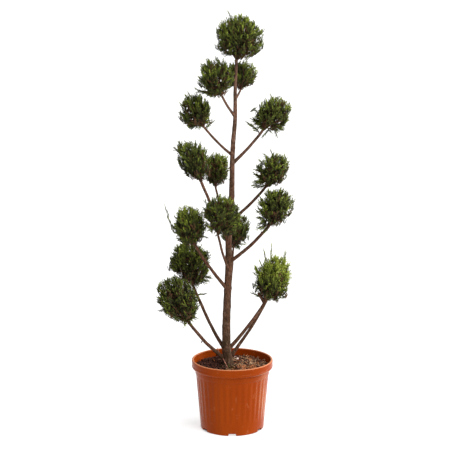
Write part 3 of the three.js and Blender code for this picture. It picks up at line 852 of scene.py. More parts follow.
class TOPIARY_OT_fill_soil(bpy.types.Operator):
    """Fill the pot with lumpy soil and lay three pebbles beside the trunk"""

    bl_idname = "topiary.fill_soil"
    bl_label = "Fill Soil"

    RINGS = 40
    STEPS = 160
    PEBBLES = (Pebble(13.0, 92.0, 6.0), Pebble(18.0, 68.0, 6.5), Pebble(14.0, -27.0, 4.5))
    FLATNESS = 0.7
    SHOWING = 0.4
    BULGE = 0.16

    def execute(self, context):
        soil = context.scene.topiary.soil
        section = [(soil.radius * ring / self.RINGS, soil.level) for ring in range(self.RINGS + 1)]
        section += [(soil.foot, soil.level - soil.depth), (0.0, soil.level - soil.depth)]
        shape = turned(section, self.STEPS)
        for vert in shape.verts:
            if vert.co.z > soil.level - soil.depth / 2:
                vert.co.z = soil_height(soil, vert.co.x, vert.co.y)
        mesh = mesh_of(shape, "soil_surface", smooth_under=40)
        show(mesh, [soil_finish(soil)], "soil", "potting_soil")
        self.lay_pebbles(soil)
        return {"FINISHED"}

    def lay_pebbles(self, soil):
        """Flattened, uneven pebbles, sunk a little into the soil."""
        shape = bmesh.new()
        for pebble in self.PEBBLES:
            radius = pebble.radius * MM
            middle = Vector((pebble.x * MM, pebble.y * MM, 0.0))
            middle.z = soil_height(soil, middle.x, middle.y) + self.SHOWING * self.FLATNESS * radius
            for vert in bmesh.ops.create_icosphere(shape, subdivisions=3, radius=radius)["verts"]:
                bulge = 1.0 + self.BULGE * noise.noise(vert.co / radius + Vector(pebble))
                vert.co = Vector((vert.co.x, vert.co.y, vert.co.z * self.FLATNESS)) * bulge + middle
        finish = scrap_finish("pebble", soil.pebble_colour, roughness=0.6)
        show(mesh_of(shape, "pebbles", smooth_under=60), [finish], "soil")


LEAF_BELLY = 0.45
LEAF_FACES = np.array(((1, 2, 3), (0, 2, 1), (0, 1, 3), (0, 3, 2)))


def unit(vectors):
    """Vectors of length one, along the last axis."""
    return vectors / np.linalg.norm(vectors, axis=-1, keepdims=True)


def heading_way(heading, rise):
    """Unit ways with a heading round the trunk and a rise over the floor."""
    level = np.cos(rise)
    return np.stack((np.cos(heading) * level, np.sin(heading) * level, np.sin(rise)), axis=-1)


def slivers(roots, tips, widths, thick, faces):
    """Corners of closed four-faced blades: root, two sides and tip. They bulge towards their face's way."""
    along = tips - roots
    across = unit(np.cross(along, faces)) * (np.asarray(widths)[..., None] / 2)
    belly = roots + along * LEAF_BELLY + unit(faces) * np.asarray(thick)[..., None]
    return np.stack((roots, belly - across, belly + across, tips), axis=-2)


def mesh_of_blades(name, blades, tints):
    """One mesh of many blades, with the tint of each."""
    firsts = blades.shape[-2] * np.arange(len(tints))
    triangles = (firsts[:, None, None] + LEAF_FACES).reshape(-1, 3)
    return mesh_from_arrays(name, blades.reshape(-1, 3), triangles, np.repeat(tints, len(LEAF_FACES)))


class TOPIARY_OT_scatter_litter(bpy.types.Operator):
    """Scatter dry litter, bark crumbs, moss and a strip of rusty fibres over the soil"""

    bl_idname = "topiary.scatter_litter"
    bl_label = "Scatter Litter"

    TINTS = ("straw", "rust", "bark", "moss")
    STRAW, RUST, BARK, MOSS = range(len(TINTS))
    LITTER_X, LITTER_SPREAD = 46 * MM, 37 * MM
    CRUMBS_X, CRUMBS_SPREAD = -40 * MM, 80 * MM
    CRUMB_LENGTH = 0.6
    DEPTH_SPREAD = 70 * MM
    WALL_ROOM = 8 * MM
    TRIES = 6
    MOSS_OFF = np.array((14.0, -34.0)) * MM
    MOSS_SPREAD = 16 * MM
    MOSS_LENGTH = 7 * MM
    STRIP_MIDDLE = np.array((52.0, -48.0)) * MM
    STRIP_SPREAD = np.array((24.0, 9.0)) * MM
    RUSTY = 0.3
    LENGTHS = (0.5, 1.4)
    WIDTHS = (0.6, 1.3)
    THICKNESS = 0.3
    HEAP = 2.5 * MM
    ROLL = 0.5

    def execute(self, context):
        settings = context.scene.topiary
        soil = settings.soil
        rng = np.random.default_rng(settings.seed + LITTER_DRAWS)
        dry = self.places(rng, soil, soil.litter, self.LITTER_X, self.LITTER_SPREAD)
        crumbs = self.places(rng, soil, soil.crumbs, self.CRUMBS_X, self.CRUMBS_SPREAD)
        trunk = np.array(trunk_middle(settings.wood, soil.level))[:2]
        moss = rng.normal(0.0, self.MOSS_SPREAD, (soil.moss, 2)) + (trunk + self.MOSS_OFF)
        strip = rng.normal(0.0, 1.0, (soil.strip, 2)) * self.STRIP_SPREAD + self.STRIP_MIDDLE
        size = soil.litter_length
        blades = [
            self.scraps(rng, soil, dry, size, slim=0.1, tilt=0.16),
            self.scraps(rng, soil, crumbs, size * self.CRUMB_LENGTH, slim=0.4, tilt=0.25),
            self.scraps(rng, soil, moss, self.MOSS_LENGTH, slim=0.3, tilt=0.45),
            self.scraps(rng, soil, strip, size, slim=0.2, tilt=0.1),
        ]
        dry_tints = np.where(rng.random(len(dry)) < self.RUSTY, self.RUST, self.STRAW)
        counts = (len(crumbs), len(moss), len(strip))
        tints = np.concatenate((dry_tints, np.repeat((self.BARK, self.MOSS, self.RUST), counts)))
        finishes = [scrap_finish(f"litter_{tint}", getattr(soil, f"{tint}_colour")) for tint in self.TINTS]
        show(mesh_of_blades("soil_litter", np.concatenate(blades), tints), finishes, "soil")
        return {"FINISHED"}

    def places(self, rng, soil, count, middle_x, spread):
        """Places on the soil, crowded round one side of the pot."""
        across = rng.normal(middle_x, spread, self.TRIES * count)
        depth = rng.normal(0.0, self.DEPTH_SPREAD, self.TRIES * count)
        spots = np.stack((across, depth), axis=-1)
        inside = spots[np.hypot(*spots.T) < soil.radius - self.WALL_ROOM]
        return inside[:count]

    def scraps(self, rng, soil, spots, size, slim, tilt):
        """Blades that lie on the soil at these places, each turned and tilted up a little its own way."""
        count = len(spots)
        heading = rng.uniform(0.0, 2 * math.pi, count)
        ways = heading_way(heading, np.abs(rng.normal(0.0, tilt, count)))
        lengths = size * rng.uniform(*self.LENGTHS, (count, 1))
        heights = np.array([soil_height(soil, x, y) for x, y in spots])
        roots = np.column_stack((spots, heights + rng.uniform(0.0, self.HEAP, count)))
        faces = np.array(UP) + rng.normal(0.0, self.ROLL, (count, 3))
        widths = lengths[:, 0] * slim * rng.uniform(*self.WIDTHS, count)
        return slivers(roots, roots + ways * lengths, widths, self.THICKNESS * widths, faces)


def level_way(heading):
    """The unit way of a heading round the trunk."""
    return Vector((math.cos(heading), math.sin(heading), 0.0))


def trunk_share(wood, height):
    """Share of the way up the trunk at a height."""
    return (height - wood.foot) / (wood.tip - wood.foot)


def trunk_middle(wood, height):
    """The middle of the trunk at a height: a lean, a sweep at the foot, a slight sway and two kinks."""
    part = trunk_share(wood, height)
    sway = wood.sway_turns * 2 * math.pi * part
    sweep = wood.sweep * math.exp(-part / wood.sweep_share)
    kink = wood.kink * math.exp(-(((height - wood.kink_height) / wood.kink_spread) ** 2))
    kink -= wood.waist_bend * math.exp(-(((height - wood.waist_height) / wood.waist_spread) ** 2))
    x = wood.foot_x + wood.lean * part + sweep + kink - wood.sway * math.sin(sway)
    return Vector((x, wood.sway * (1 - math.cos(sway)), height))


def trunk_radius(wood, height):
    """Half thickness of the trunk at a height, without its flare."""
    return wood.foot_radius + (wood.tip_radius - wood.foot_radius) * trunk_share(wood, height)


def trunk_flare(wood, height, turn):
    """How much the roots widen the trunk at a height, on the side that a turn names."""
    lobes = 1 + wood.flare_lobe_depth * math.cos(wood.flare_lobes * turn)
    return 1 + wood.flare * lobes * math.exp(-(height - wood.foot) / wood.flare_height)


def ball_middle(wood, ball):
    """The middle of a ball: the trunk's tip carries the first, and limbs carry the rest."""
    anchor = trunk_middle(wood, min(ball.height * MM, wood.tip))
    out = level_way(math.radians(ball.heading)) * ball.reach * MM
    return Vector((anchor.x, anchor.y, ball.height * MM)) + out


class Curve(NamedTuple):
    """A bow of three points, in metres."""

    start: Vector
    bow: Vector
    end: Vector

    def at(self, part):
        """The place at a share of the bow."""
        rest = 1.0 - part
        return self.start * rest * rest + self.bow * 2 * rest * part + self.end * part * part

    def way(self, part):
        """The way that the bow runs there."""
        return ((self.bow - self.start) * (1.0 - part) + (self.end - self.bow) * part).normalized()


# Limbs that leave the trunk beside its middle, and how both ends of the second limb are set off
SIDE_STARTS = {"waist_back": Vector((8.0, 0.0, 0.0)) * MM}
SECOND_START = Vector((8.0, 8.0, 0.0)) * MM
SECOND_SHIFT = Vector((3.0, 14.0, -2.0)) * MM


def limb_curve(wood, ball, fork, start_shift=Vector(), shift=Vector()):
    """The line of a limb, from the trunk to the underside of its ball, with both ends shifted."""
    heading = math.radians(ball.heading)
    inward = ball.wide * MM * wood.entry_in
    entry = Vector((inward * math.cos(heading), inward * math.sin(heading), ball.tall * MM * wood.entry_down))
    start = trunk_middle(wood, fork) + start_shift
    end = ball_middle(wood, ball) - entry + shift + Vector((ball.aside * MM, 0.0, 0.0))
    span = end - start
    bow = start + Vector((span.x * wood.bow_out, span.y * wood.bow_out, span.z * wood.bow_up))
    return Curve(start, bow, end)


class Limb(NamedTuple):
    """A limb of the plant: the node it stands for, its ball, its line and its half thickness."""

    node: str
    ball: Ball
    curve: Curve
    body: float


def limbs(wood):
    """Every limb, with the second one under the doubled ball last."""
    made = []
    for ball in BALLS[1:]:
        curve = limb_curve(wood, ball, ball.fork * MM, SIDE_STARTS.get(ball.name, Vector()))
        made.append(Limb(f"bough_{ball.name}", ball, curve, ball.limb * MM))
    doubled = next(ball for ball in BALLS if ball.name == DOUBLED)
    curve = limb_curve(wood, doubled, wood.second_fork, SECOND_START, SECOND_SHIFT)
    made.append(Limb(f"bough_{DOUBLED}_second", doubled, curve, doubled.limb * MM * wood.second_thin))
    return made


def limb_radius(wood, limb, part):
    """Half thickness of a limb at a share of its length, with a collar at the trunk."""
    collar = wood.limb_collar * limb.body * math.exp(-part / wood.limb_collar_share)
    return limb.body * (1 + (wood.limb_tip - 1) * part) + collar


RIDGE_PACE = Vector((210.0, 210.0, 42.0))
RIDGE_FRACTAL = (0.8, 2.1, 4)
RIDGE_SHARE = 0.6
KNOB_PACE = Vector((60.0, 60.0, 34.0))
KNOB_SHARE = 0.9


def bark_ridges(place):
    """Relief of the bark at a place, about -1 to 1, drawn out along the stem."""
    ridges = noise.fractal(place * RIDGE_PACE, *RIDGE_FRACTAL)
    return RIDGE_SHARE * ridges + KNOB_SHARE * noise.noise(place * KNOB_PACE)


def bark_tube(name, sides, rings, place):
    """A closed stem drawn out ring by ring, with each corner where place(part, turn) puts it."""
    shape = bmesh.new()
    turn = shape.verts.layers.float.new("turn")
    for vert in bmesh.ops.create_circle(shape, cap_ends=False, segments=sides, radius=1.0)["verts"]:
        vert[turn] = math.atan2(vert.co.y, vert.co.x)
        vert.co = place(0.0, vert[turn])
    edges = list(shape.edges)
    bmesh.ops.edgeloop_fill(shape, edges=edges)
    for ring in range(1, rings + 1):
        drawn = bmesh.ops.extrude_edge_only(shape, edges=edges)["geom"]
        for vert in (item for item in drawn if isinstance(item, bmesh.types.BMVert)):
            vert.co = place(ring / rings, vert[turn])
        edges = [item for item in drawn if isinstance(item, bmesh.types.BMEdge) and item.is_boundary]
    bmesh.ops.edgeloop_fill(shape, edges=edges)
    return mesh_of(shape, name, smooth_under=60)


class TOPIARY_OT_raise_trunk(bpy.types.Operator):
    """Raise the trunk with its flare, bark ridges and healed scars"""

    bl_idname = "topiary.raise_trunk"
    bl_label = "Raise Trunk"

    SIDES = 44
    RING = 4 * MM
    SUNK = 10 * MM
    RELIEF_AT_TIP = 0.35
    ALGAE = 0.6
    SCAR_SPREAD = 4 * MM
    SCAR_SIZES = (0.4, 1.0)
    SCAR_WANDER = 0.4

    def execute(self, context):
        settings = context.scene.topiary
        wood = settings.wood
        foot = wood.foot - self.SUNK
        scars = self.scars(settings)

        def place(part, turn):
            height = foot + (wood.tip - foot) * part
            out = level_way(turn)
            spread = trunk_radius(wood, height) * trunk_flare(wood, max(height, wood.foot), turn)
            spot = trunk_middle(wood, height) + out * spread
            age = min(1.0, 1 - trunk_share(wood, height))
            lift = wood.relief * (self.RELIEF_AT_TIP + (1 - self.RELIEF_AT_TIP) * age) * bark_ridges(spot)
            for scar, size in scars:
                lift += size * math.exp(-(spot - scar).length_squared / (2 * self.SCAR_SPREAD**2))
            return spot + out * lift

        mesh = bark_tube("bark_trunk", self.SIDES, round((wood.tip - foot) / self.RING), place)
        show(mesh, [bark_finish("trunk_bark", wood, self.ALGAE)], "bark", "trunk")
        return {"FINISHED"}

    def scars(self, settings):
        """Places of healed scars on the trunk and how far each stands out."""
        wood = settings.wood
        rng = np.random.default_rng(settings.seed + SCAR_DRAWS)
        found = []
        for order in range(wood.scars):
            height = wood.foot + (wood.tip - wood.foot) * (order + rng.random()) / wood.scars
            turn = order * GOLDEN_ANGLE + rng.normal(0.0, self.SCAR_WANDER)
            radius = trunk_radius(wood, height)
            size = wood.scar_height * rng.uniform(*self.SCAR_SIZES) * radius / wood.foot_radius
            found.append((trunk_middle(wood, height) + level_way(turn) * radius, size))
        return found


class Stub(NamedTuple):
    """A cut stub or dry twig on a limb: its place along it, heading and rise in degrees, and sizes in mm."""

    node: str
    part: float
    heading: float
    rise: float
    length: float
    radius: float
    dry: bool = False


STUBS = (
    Stub("bough_low_left", 0.61, 190, -62, 16, 1.9),
    Stub("bough_low_right", 0.96, 184, 60, 46, 5.6),
    Stub("bough_low_left", 0.16, 150, 62, 40, 1.0, True),
    Stub("bough_low_left", 0.13, -64, -32, 54, 1.5, True),
    Stub("bough_low_back", 0.62, 150, 70, 9, 2.6),
    Stub("bough_high_right", 0.88, 150, 60, 14, 2.0),
    Stub("bough_waist_right", 0.8, 120, 65, 10, 2.2),
    Stub("bough_middle_right", 0.96, -10, 30, 52, 1.7),
    Stub("bough_waist_right", 0.98, -10, 34, 50, 1.7),
)


class TOPIARY_OT_bend_boughs(bpy.types.Operator):
    """Bend the limbs from the trunk up to their balls, with bark ridges, cut stubs and a few dry twigs"""

    bl_idname = "topiary.bend_boughs"
    bl_label = "Bend Boughs"

    SIDES = 20
    RING = 4 * MM
    RELIEF = 0.5
    ALGAE = 0.25
    CROOKS_PER_METRE = 14
    STUB_SIDES = 12
    STUB_RINGS = 8
    STUB_RELIEF = 0.4
    STUB_FOOT, STUB_TAPER = 1.15, 0.3

    def execute(self, context):
        settings = context.scene.topiary
        wood = settings.wood
        noise.seed_set(settings.seed)
        finish = bark_finish("limb_bark", wood, self.ALGAE)
        dry_finish = scrap_finish("dry_twig", settings.soil.twig_colour)
        grown = {limb.node: limb for limb in limbs(wood)}
        for limb in grown.values():
            rings = round((limb.curve.end - limb.curve.start).length / self.RING)
            mesh = bark_tube(f"bark_{limb.node}", self.SIDES, rings, self.placer(wood, limb))
            show(mesh, [finish], "bark", limb.node)
        for stub in STUBS:
            self.cut_stub(wood, grown[stub.node], stub, dry_finish if stub.dry else finish)
        return {"FINISHED"}

    def placer(self, wood, limb):
        """Where each corner of a limb's bark goes."""

        def place(part, turn):
            way = limb.curve.way(part)
            side = way.cross(UP).normalized()
            out = side * math.cos(turn) + side.cross(way) * math.sin(turn)
            middle = limb.curve.at(part)
            crook = noise.noise_vector(middle * self.CROOKS_PER_METRE) * wood.limb_bends
            spot = middle + crook * math.sin(math.pi * part) + out * limb_radius(wood, limb, part)
            return spot + out * self.RELIEF * wood.relief * bark_ridges(spot)

        return place

    def cut_stub(self, wood, limb, stub, finish):
        """A short stub that leaves the limb at an angle and ends in a cut face."""
        way = Vector(heading_way(math.radians(stub.heading), math.radians(stub.rise)))
        side = way.orthogonal().normalized()
        root = limb.curve.at(stub.part)

        def place(part, turn):
            out = side * math.cos(turn) + way.cross(side) * math.sin(turn)
            taper = self.STUB_FOOT - self.STUB_TAPER * part
            spot = root + way * stub.length * MM * part + out * stub.radius * MM * taper
            return spot + out * self.STUB_RELIEF * wood.relief * bark_ridges(spot)

        name = f"stub_{stub.node}_{round(100 * stub.part)}"
        show(bark_tube(name, self.STUB_SIDES, self.STUB_RINGS, place), [finish], "bark")


# Ways that no stem runs along, to find what lies across a stem
OFF_TUBE = np.array((0.31, 0.52, 0.79))
OFF_AXIS = np.array((0.3, 0.8, 0.1))


def tubes(paths, radii, sides):
    """Corners and triangles of closed thin stems along paths of a few points each."""
    count, points = radii.shape
    ways = unit(np.gradient(paths, axis=1))
    side = unit(np.cross(ways, OFF_TUBE))
    other = np.cross(ways, side)
    turns = 2 * math.pi * np.arange(sides) / sides
    ring = side[:, :, None] * np.cos(turns)[:, None] + other[:, :, None] * np.sin(turns)[:, None]
    places = paths[:, :, None] + ring * radii[:, :, None, None]
    spoke = np.arange(sides)
    after = (spoke + 1) % sides
    rows = sides * np.arange(points - 1)[:, None]
    skin = np.stack((rows + spoke, rows + after, rows + sides + after), axis=-1).reshape(-1, 3)
    skin_rest = np.stack((rows + spoke, rows + sides + after, rows + sides + spoke), axis=-1).reshape(-1, 3)
    fan = np.stack((np.zeros(sides - 2, int), spoke[1:-1], spoke[2:]), axis=-1)
    caps = np.concatenate((fan[:, ::-1], fan + sides * (points - 1)))
    one = np.concatenate((skin, skin_rest, caps))
    triangles = one[None] + (sides * points) * np.arange(count)[:, None, None]
    return places.reshape(-1, 3), triangles.reshape(-1, 3)


def bows(starts, bends, ends, points):
    """Bowed paths from starts to ends, pulled towards bends."""
    part = np.linspace(0.0, 1.0, points)[None, :, None]
    rest = 1.0 - part
    return starts[:, None] * rest**2 + bends[:, None] * 2 * rest * part + ends[:, None] * part**2


def ways_round(axis, turn):
    """Unit ways at right angles to an axis, at these turns round it."""
    side = unit(np.cross(axis, OFF_AXIS))
    return side * np.cos(turn) + np.cross(axis, side) * np.sin(turn)


def ways_over(count, turn):
    """Evenly spread ways out of a ball."""
    order = np.arange(count) + 0.5
    height = 1.0 - 2.0 * order / count
    heading = order * GOLDEN_ANGLE + turn
    level = np.sqrt(1.0 - height * height)
    return np.stack((level * np.cos(heading), level * np.sin(heading), height), axis=-1)


class Crown(NamedTuple):
    """Where a ball is, in metres, and where, which way and how thick its wood comes in."""

    ball: Ball
    seed: int
    middle: np.ndarray
    size: np.ndarray
    entry: np.ndarray
    lead: np.ndarray
    radius: float

    def axis(self):
        """The way from the entry to the middle, in the space where the ball is round and of size one."""
        off = self.middle - self.entry
        return unit((off - self.aslant(off)) / self.size)

    def aslant(self, offs):
        """How far the ball's lean moves places at these offsets from its middle."""
        return self.ball.lean * offs[..., 2:] * np.array((1.0, 0.0, 0.0))

    def around(self, ways):
        """Places in the round space, set in the plant."""
        offs = ways * self.size
        return self.middle + offs + self.aslant(offs)


def crowns(settings):
    """Every ball with its entry, from the top down."""
    wood = settings.wood
    carriers = {}
    for limb in reversed(limbs(wood)):
        carriers[limb.ball.name] = (limb.curve.at(1.0), limb.curve.way(1.0), limb_radius(wood, limb, 1.0))
    carriers["top"] = (trunk_middle(wood, wood.tip), UP, wood.tip_radius)
    found = []
    for seed, ball in enumerate(BALLS, settings.seed):
        entry, lead, radius = carriers[ball.name]
        size = np.array((ball.wide, ball.wide, ball.tall)) * MM
        middle = np.array(ball_middle(wood, ball))
        found.append(Crown(ball, seed, middle, size, np.array(entry), np.array(lead), radius))
    return found


class Tufts(NamedTuple):
    """Clumps of sprays, one row each: tips, ways, spray lengths, fullness, tint, dryness, and whether they
    are strung along one shoot."""

    tips: np.ndarray
    ways: np.ndarray
    lengths: np.ndarray
    full: np.ndarray
    level: np.ndarray
    dry: np.ndarray
    strung: np.ndarray


def waves(rng, ways, pace, count=5):
    """A smooth random field over the ways out of a ball, about -1 to 1."""
    directions = rng.normal(0.0, pace, (count, 3))
    phases = rng.uniform(0.0, 2 * math.pi, count)
    return np.sin(ways @ directions.T + phases).sum(axis=-1) / math.sqrt(count / 2) / 2


SQUARENESS = 2.25
FURTHEST = 2.0


def outline(crown, ways):
    """The clipped, slightly squared round as shares of its reach, drawn in to the entry by the twigs."""
    level = np.hypot(ways[:, 0], ways[:, 1])
    squared = (level**SQUARENESS + np.abs(ways[:, 2]) ** SQUARENESS) ** (-1.0 / SQUARENESS)
    along = ways @ crown.axis()
    across = np.sqrt(np.clip(1.0 - along**2, 0.0, 1.0))
    slope = math.tan(math.radians(crown.ball.cone))
    room = across - along * slope
    return np.minimum(squared, slope / np.maximum(room, slope / FURTHEST))


# How much a tuft points away from its limb's tip, out of its ball and up
FOCUS_DEPTH = 0.15
FROM_TIP, FROM_MIDDLE, UPWARDS = 0.6, 0.3, 0.4


def upright(rng, crown, tips, wander):
    """Ways of tufts with these tips: away from the entry, outwards and upwards, each a little its own way."""
    outward = unit((tips - crown.middle) / crown.size)
    focus = crown.entry - crown.lead * FOCUS_DEPTH * crown.size[2]
    mixed = FROM_TIP * unit(tips - focus) + FROM_MIDDLE * outward + UPWARDS * np.array(UP)
    return unit(mixed + rng.normal(0.0, wander, tips.shape))


class Gap(NamedTuple):
    """A small opening that runs through a ball from front to back, in mm from the ball's middle."""

    right: float
    up: float
    radius: float


GAPS = {
    "top": (
        Gap(-20, -71, 7),
        Gap(-5, -46, 6),
        Gap(-41, -48, 4),
    ),
    "upper_left": (
        Gap(17, 9, 4),
        Gap(17, -13, 5),
        Gap(4, -30, 4),
    ),
    "high_left": (
        Gap(-27, 9, 5),
        Gap(-18, -9, 5),
        Gap(28, 30, 5),
        Gap(-2, -19, 4),
        Gap(-17, -32, 5),
    ),
    "high_right": (
        Gap(9, -25, 6),
        Gap(-9, -43, 6),
        Gap(20, -36, 6),
    ),
    "middle_left": (
        Gap(-52, -34, 10),
    ),
    "middle_back": (
        Gap(-2, -22, 5),
    ),
    "waist_right": (
        Gap(-14, -27, 7),
        Gap(41, -12, 6),
    ),
    "low_back": (
        Gap(-36, -15, 5),
        Gap(-62, -46, 15),
        Gap(-29, -37, 6),
    ),
    "low_left": (
        Gap(30, -10, 6),
    ),
}
GAP_PARTS = (0.25, 0.6, 0.95)


def clear_of_gaps(crown, roots, tips):
    """True for sprays that leave the ball's openings free."""
    free = np.ones(len(roots), bool)
    for gap in GAPS.get(crown.ball.name, ()):
        spot = crown.middle + np.array((gap.right, 0.0, gap.up)) * MM
        for part in GAP_PARTS:
            off = roots + part * (tips - roots) - spot
            free &= np.hypot(off[:, 0], off[:, 2]) > gap.radius * MM
    return free


# A random start anywhere round a stem, in radians
ANY_TURN = 6.0

# Where clipped tufts end, as shares of their ball's reach
CLIP_LINE = 0.97
CLIP_LUMPS, CLIP_LUMP_PACE = 0.05, 3.4
CLIP_RAGGED = 0.05
CLIP_JITTER = 0.05
INNER_REACH = (0.45, 0.92)
BARE_POWER = 1.6

# Their tints, in steps from one green to the next. Besides the leaves' own greens they hold painted light and
# shade: lighter higher up, on lumps that stand out and to the right, and darker for inner tufts, which are
# partly older leaves and partly painted shade.
TINT_USUAL, TINT_SPREAD = 1.65, 0.5
PAINTED_LIGHT_BY_HEIGHT = 0.4
PAINTED_LIGHT_BY_LUMPS = 0.45
INNER_OLD_AND_SHADED = 1.3
FRESH_BRIGHTER = 1.7
FRESH_FROM, FRESH_AND_LIT_RIGHT, FRESH_MOST = 0.45, 0.3, 1.2

# Shares of dry sprays: everywhere, below a height and inside
DRY_ANYWHERE = 0.03
DRY_BELOW, DRY_HEIGHT = 0.26, 0.1
DRY_INSIDE = 0.3

# Their sprays, by the usual spray
CLIP_LENGTHS = (0.75, 1.25)
INNER_LONGER = 1.25
INNER_FULLER = 1.3
ENTRY_ROOM = 0.5
CLIP_WANDER = 0.32


def clipped_tufts(rng, foliage, crown, count):
    """Tufts that end at the clipped outline, and some that end deeper inside."""
    ways = unit(ways_over(count, rng.uniform(0.0, ANY_TURN)) + rng.normal(0.0, CLIP_JITTER, (count, 3)))
    lowness = 0.5 - 0.5 * ways @ crown.axis()
    bare = np.clip((lowness - foliage.bare_from) / (foliage.underside - foliage.bare_from), 0.0, 1.0)
    ways = ways[rng.random(count) > bare**BARE_POWER]
    count = len(ways)
    lumps = waves(rng, ways, CLIP_LUMP_PACE)
    inner = rng.random(count) < foliage.inner
    reach = outline(crown, ways) * (CLIP_LINE + CLIP_LUMPS * lumps + rng.normal(0.0, CLIP_RAGGED, count))
    reach = np.where(inner, reach * rng.uniform(*INNER_REACH, count), reach)
    tips = crown.around(ways * reach[:, None])
    height = ways[:, 2]
    # Painted light higher up and on lumps that stand out, and painted shade on the inner tufts as well as
    # their older leaves
    level = TINT_USUAL + PAINTED_LIGHT_BY_HEIGHT * height + PAINTED_LIGHT_BY_LUMPS * lumps
    level += rng.normal(0.0, TINT_SPREAD, count) - INNER_OLD_AND_SHADED * inner
    # Fresh growth, painted brighter where the light falls, on top and to the right
    sunlit = np.clip(FRESH_FROM + height + FRESH_AND_LIT_RIGHT * ways[:, 0], 0.0, FRESH_MOST)
    level += FRESH_BRIGHTER * crown.ball.fresh * sunlit
    dry = DRY_ANYWHERE + DRY_BELOW * np.clip(DRY_HEIGHT - height, 0.0, 1.0) + DRY_INSIDE * inner
    lengths = foliage.spray_length * rng.uniform(*CLIP_LENGTHS, count) * np.where(inner, INNER_LONGER, 1.0)
    lengths = np.minimum(lengths, ENTRY_ROOM * np.linalg.norm(tips - crown.entry, axis=-1))
    full = np.where(inner, INNER_FULLER, 1.0)
    ways = upright(rng, crown, tips, CLIP_WANDER)
    return Tufts(tips, ways, lengths, full, level, dry, np.zeros(count, bool))


# A feathery shoot's tufts, by the usual spray's length and width
FEATHER_PITCH = 0.34
FEATHER_SPRAY = 0.78
FEATHER_TIP, FEATHER_WIDEN = 0.8, 0.09

# A bunch of tufts: how far they spread and end short, and what their sprays point away from
BUNCH_SPREAD = 0.06
BUNCH_SHORT = 0.22
BUNCH_FROM_TIP, BUNCH_FROM_MIDDLE = 0.6, 0.5

SHOOT_WANDER = 0.1
SHOOT_LENGTHS = (0.9, 1.15)
SHOOT_TINT, SHOOT_TINT_SPREAD = 2.1, 0.4
SHOOT_FRESH = 1.3
SHOOT_DRY = 0.08


def shoot_tufts(rng, foliage, crown, shoot):
    """Tufts that missed the shears: strung along a feathery shoot, or bunched round one way out."""
    count = shoot.tufts
    order = np.arange(count)
    strung = shoot.steep is not None
    way = heading_way(math.radians(shoot.heading), math.radians(shoot.rise))
    if strung:
        ahead = unit(way + shoot.steep * np.array(UP))
        back = order * FEATHER_PITCH * foliage.spray_length
        tips = crown.middle + way * shoot.length * MM - ahead * back[:, None]
        ways = np.repeat(ahead[None], count, axis=0)
        full = shoot.full * (FEATHER_TIP + FEATHER_WIDEN * order)
    else:
        ways = unit(way + rng.normal(0.0, BUNCH_SPREAD * math.sqrt(count - 1), (count, 3)))
        far = shoot.length * MM * (1.0 - rng.uniform(0.0, BUNCH_SHORT, count) * (order > 0))
        tips = crown.middle + ways * far[:, None]
        ways = unit(BUNCH_FROM_TIP * unit(tips - crown.entry) + BUNCH_FROM_MIDDLE * ways)
        full = np.ones(count)
    ways = unit(ways + rng.normal(0.0, SHOOT_WANDER, ways.shape))
    lengths = foliage.spray_length * rng.uniform(*SHOOT_LENGTHS, count) * (FEATHER_SPRAY if strung else 1.0)
    level = rng.normal(SHOOT_TINT, SHOOT_TINT_SPREAD, count)
    level += SHOOT_FRESH * crown.ball.fresh * (shoot.rise > 0)
    return Tufts(tips, ways, lengths, full, level, np.full(count, SHOOT_DRY), np.full(count, strung))


COLLAR_HEIGHT = 0.4
COLLAR_LEAN = (0.5, 1.2)
COLLAR_UP = 0.2
COLLAR_LENGTHS = (0.8, 1.3)
COLLAR_TINT, COLLAR_TINT_SPREAD = 1.4, 0.5
COLLAR_DRY = 0.2


def collar_tufts(rng, foliage, crown):
    """Tufts round the leader just inside the ball, which lean out from it over the entry."""
    count = foliage.collar
    turn = np.arange(count)[:, None] * GOLDEN_ANGLE + rng.uniform(0.0, ANY_TURN)
    lean = rng.uniform(*COLLAR_LEAN, (count, 1)) * ways_round(crown.lead, turn)
    ways = unit(crown.lead + lean + COLLAR_UP * np.array(UP))
    lengths = foliage.spray_length * rng.uniform(*COLLAR_LENGTHS, count)
    roots = crown.entry + crown.lead * rng.uniform(0.0, 1.0, (count, 1)) * COLLAR_HEIGHT * crown.size[2]
    tips = roots + ways * lengths[:, None]
    level = rng.normal(COLLAR_TINT, COLLAR_TINT_SPREAD, count)
    dry = np.full(count, COLLAR_DRY)
    return Tufts(tips, ways, lengths, np.ones(count), level, dry, np.zeros(count, bool))


def grow(settings, crown):
    """All the tufts of a ball."""
    foliage = settings.foliage
    rng = np.random.default_rng(crown.seed + TUFT_DRAWS)
    usual = np.mean([ball.wide * ball.tall for ball in BALLS])
    count = round(foliage.tufts * crown.ball.wide * crown.ball.tall / usual)
    groups = [clipped_tufts(rng, foliage, crown, count), collar_tufts(rng, foliage, crown)]
    groups += [shoot_tufts(rng, foliage, crown, shoot) for shoot in SHOOTS.get(crown.ball.name, ())]
    return Tufts(*(np.concatenate(rows) for rows in zip(*groups)))


# Where a tuft's sprays start below its tip, and how far each starts below the one before
TUFT_ROOT = 0.95
TUFT_PITCH = 0.12

MAIN_POINTS = 8
MAIN_SIDES = 5
MAIN_FAN = 0.95
MAIN_REACH = (0.6, 0.78)
MAIN_SUNK = 4 * MM
MAIN_BEND, MAIN_LIFT = 0.4, 0.12
MAIN_CROOKS = 1.6 * MM
MAIN_TIP = 1.1 * MM
LEADER_THICK, MAIN_THICK = 0.9, 0.62


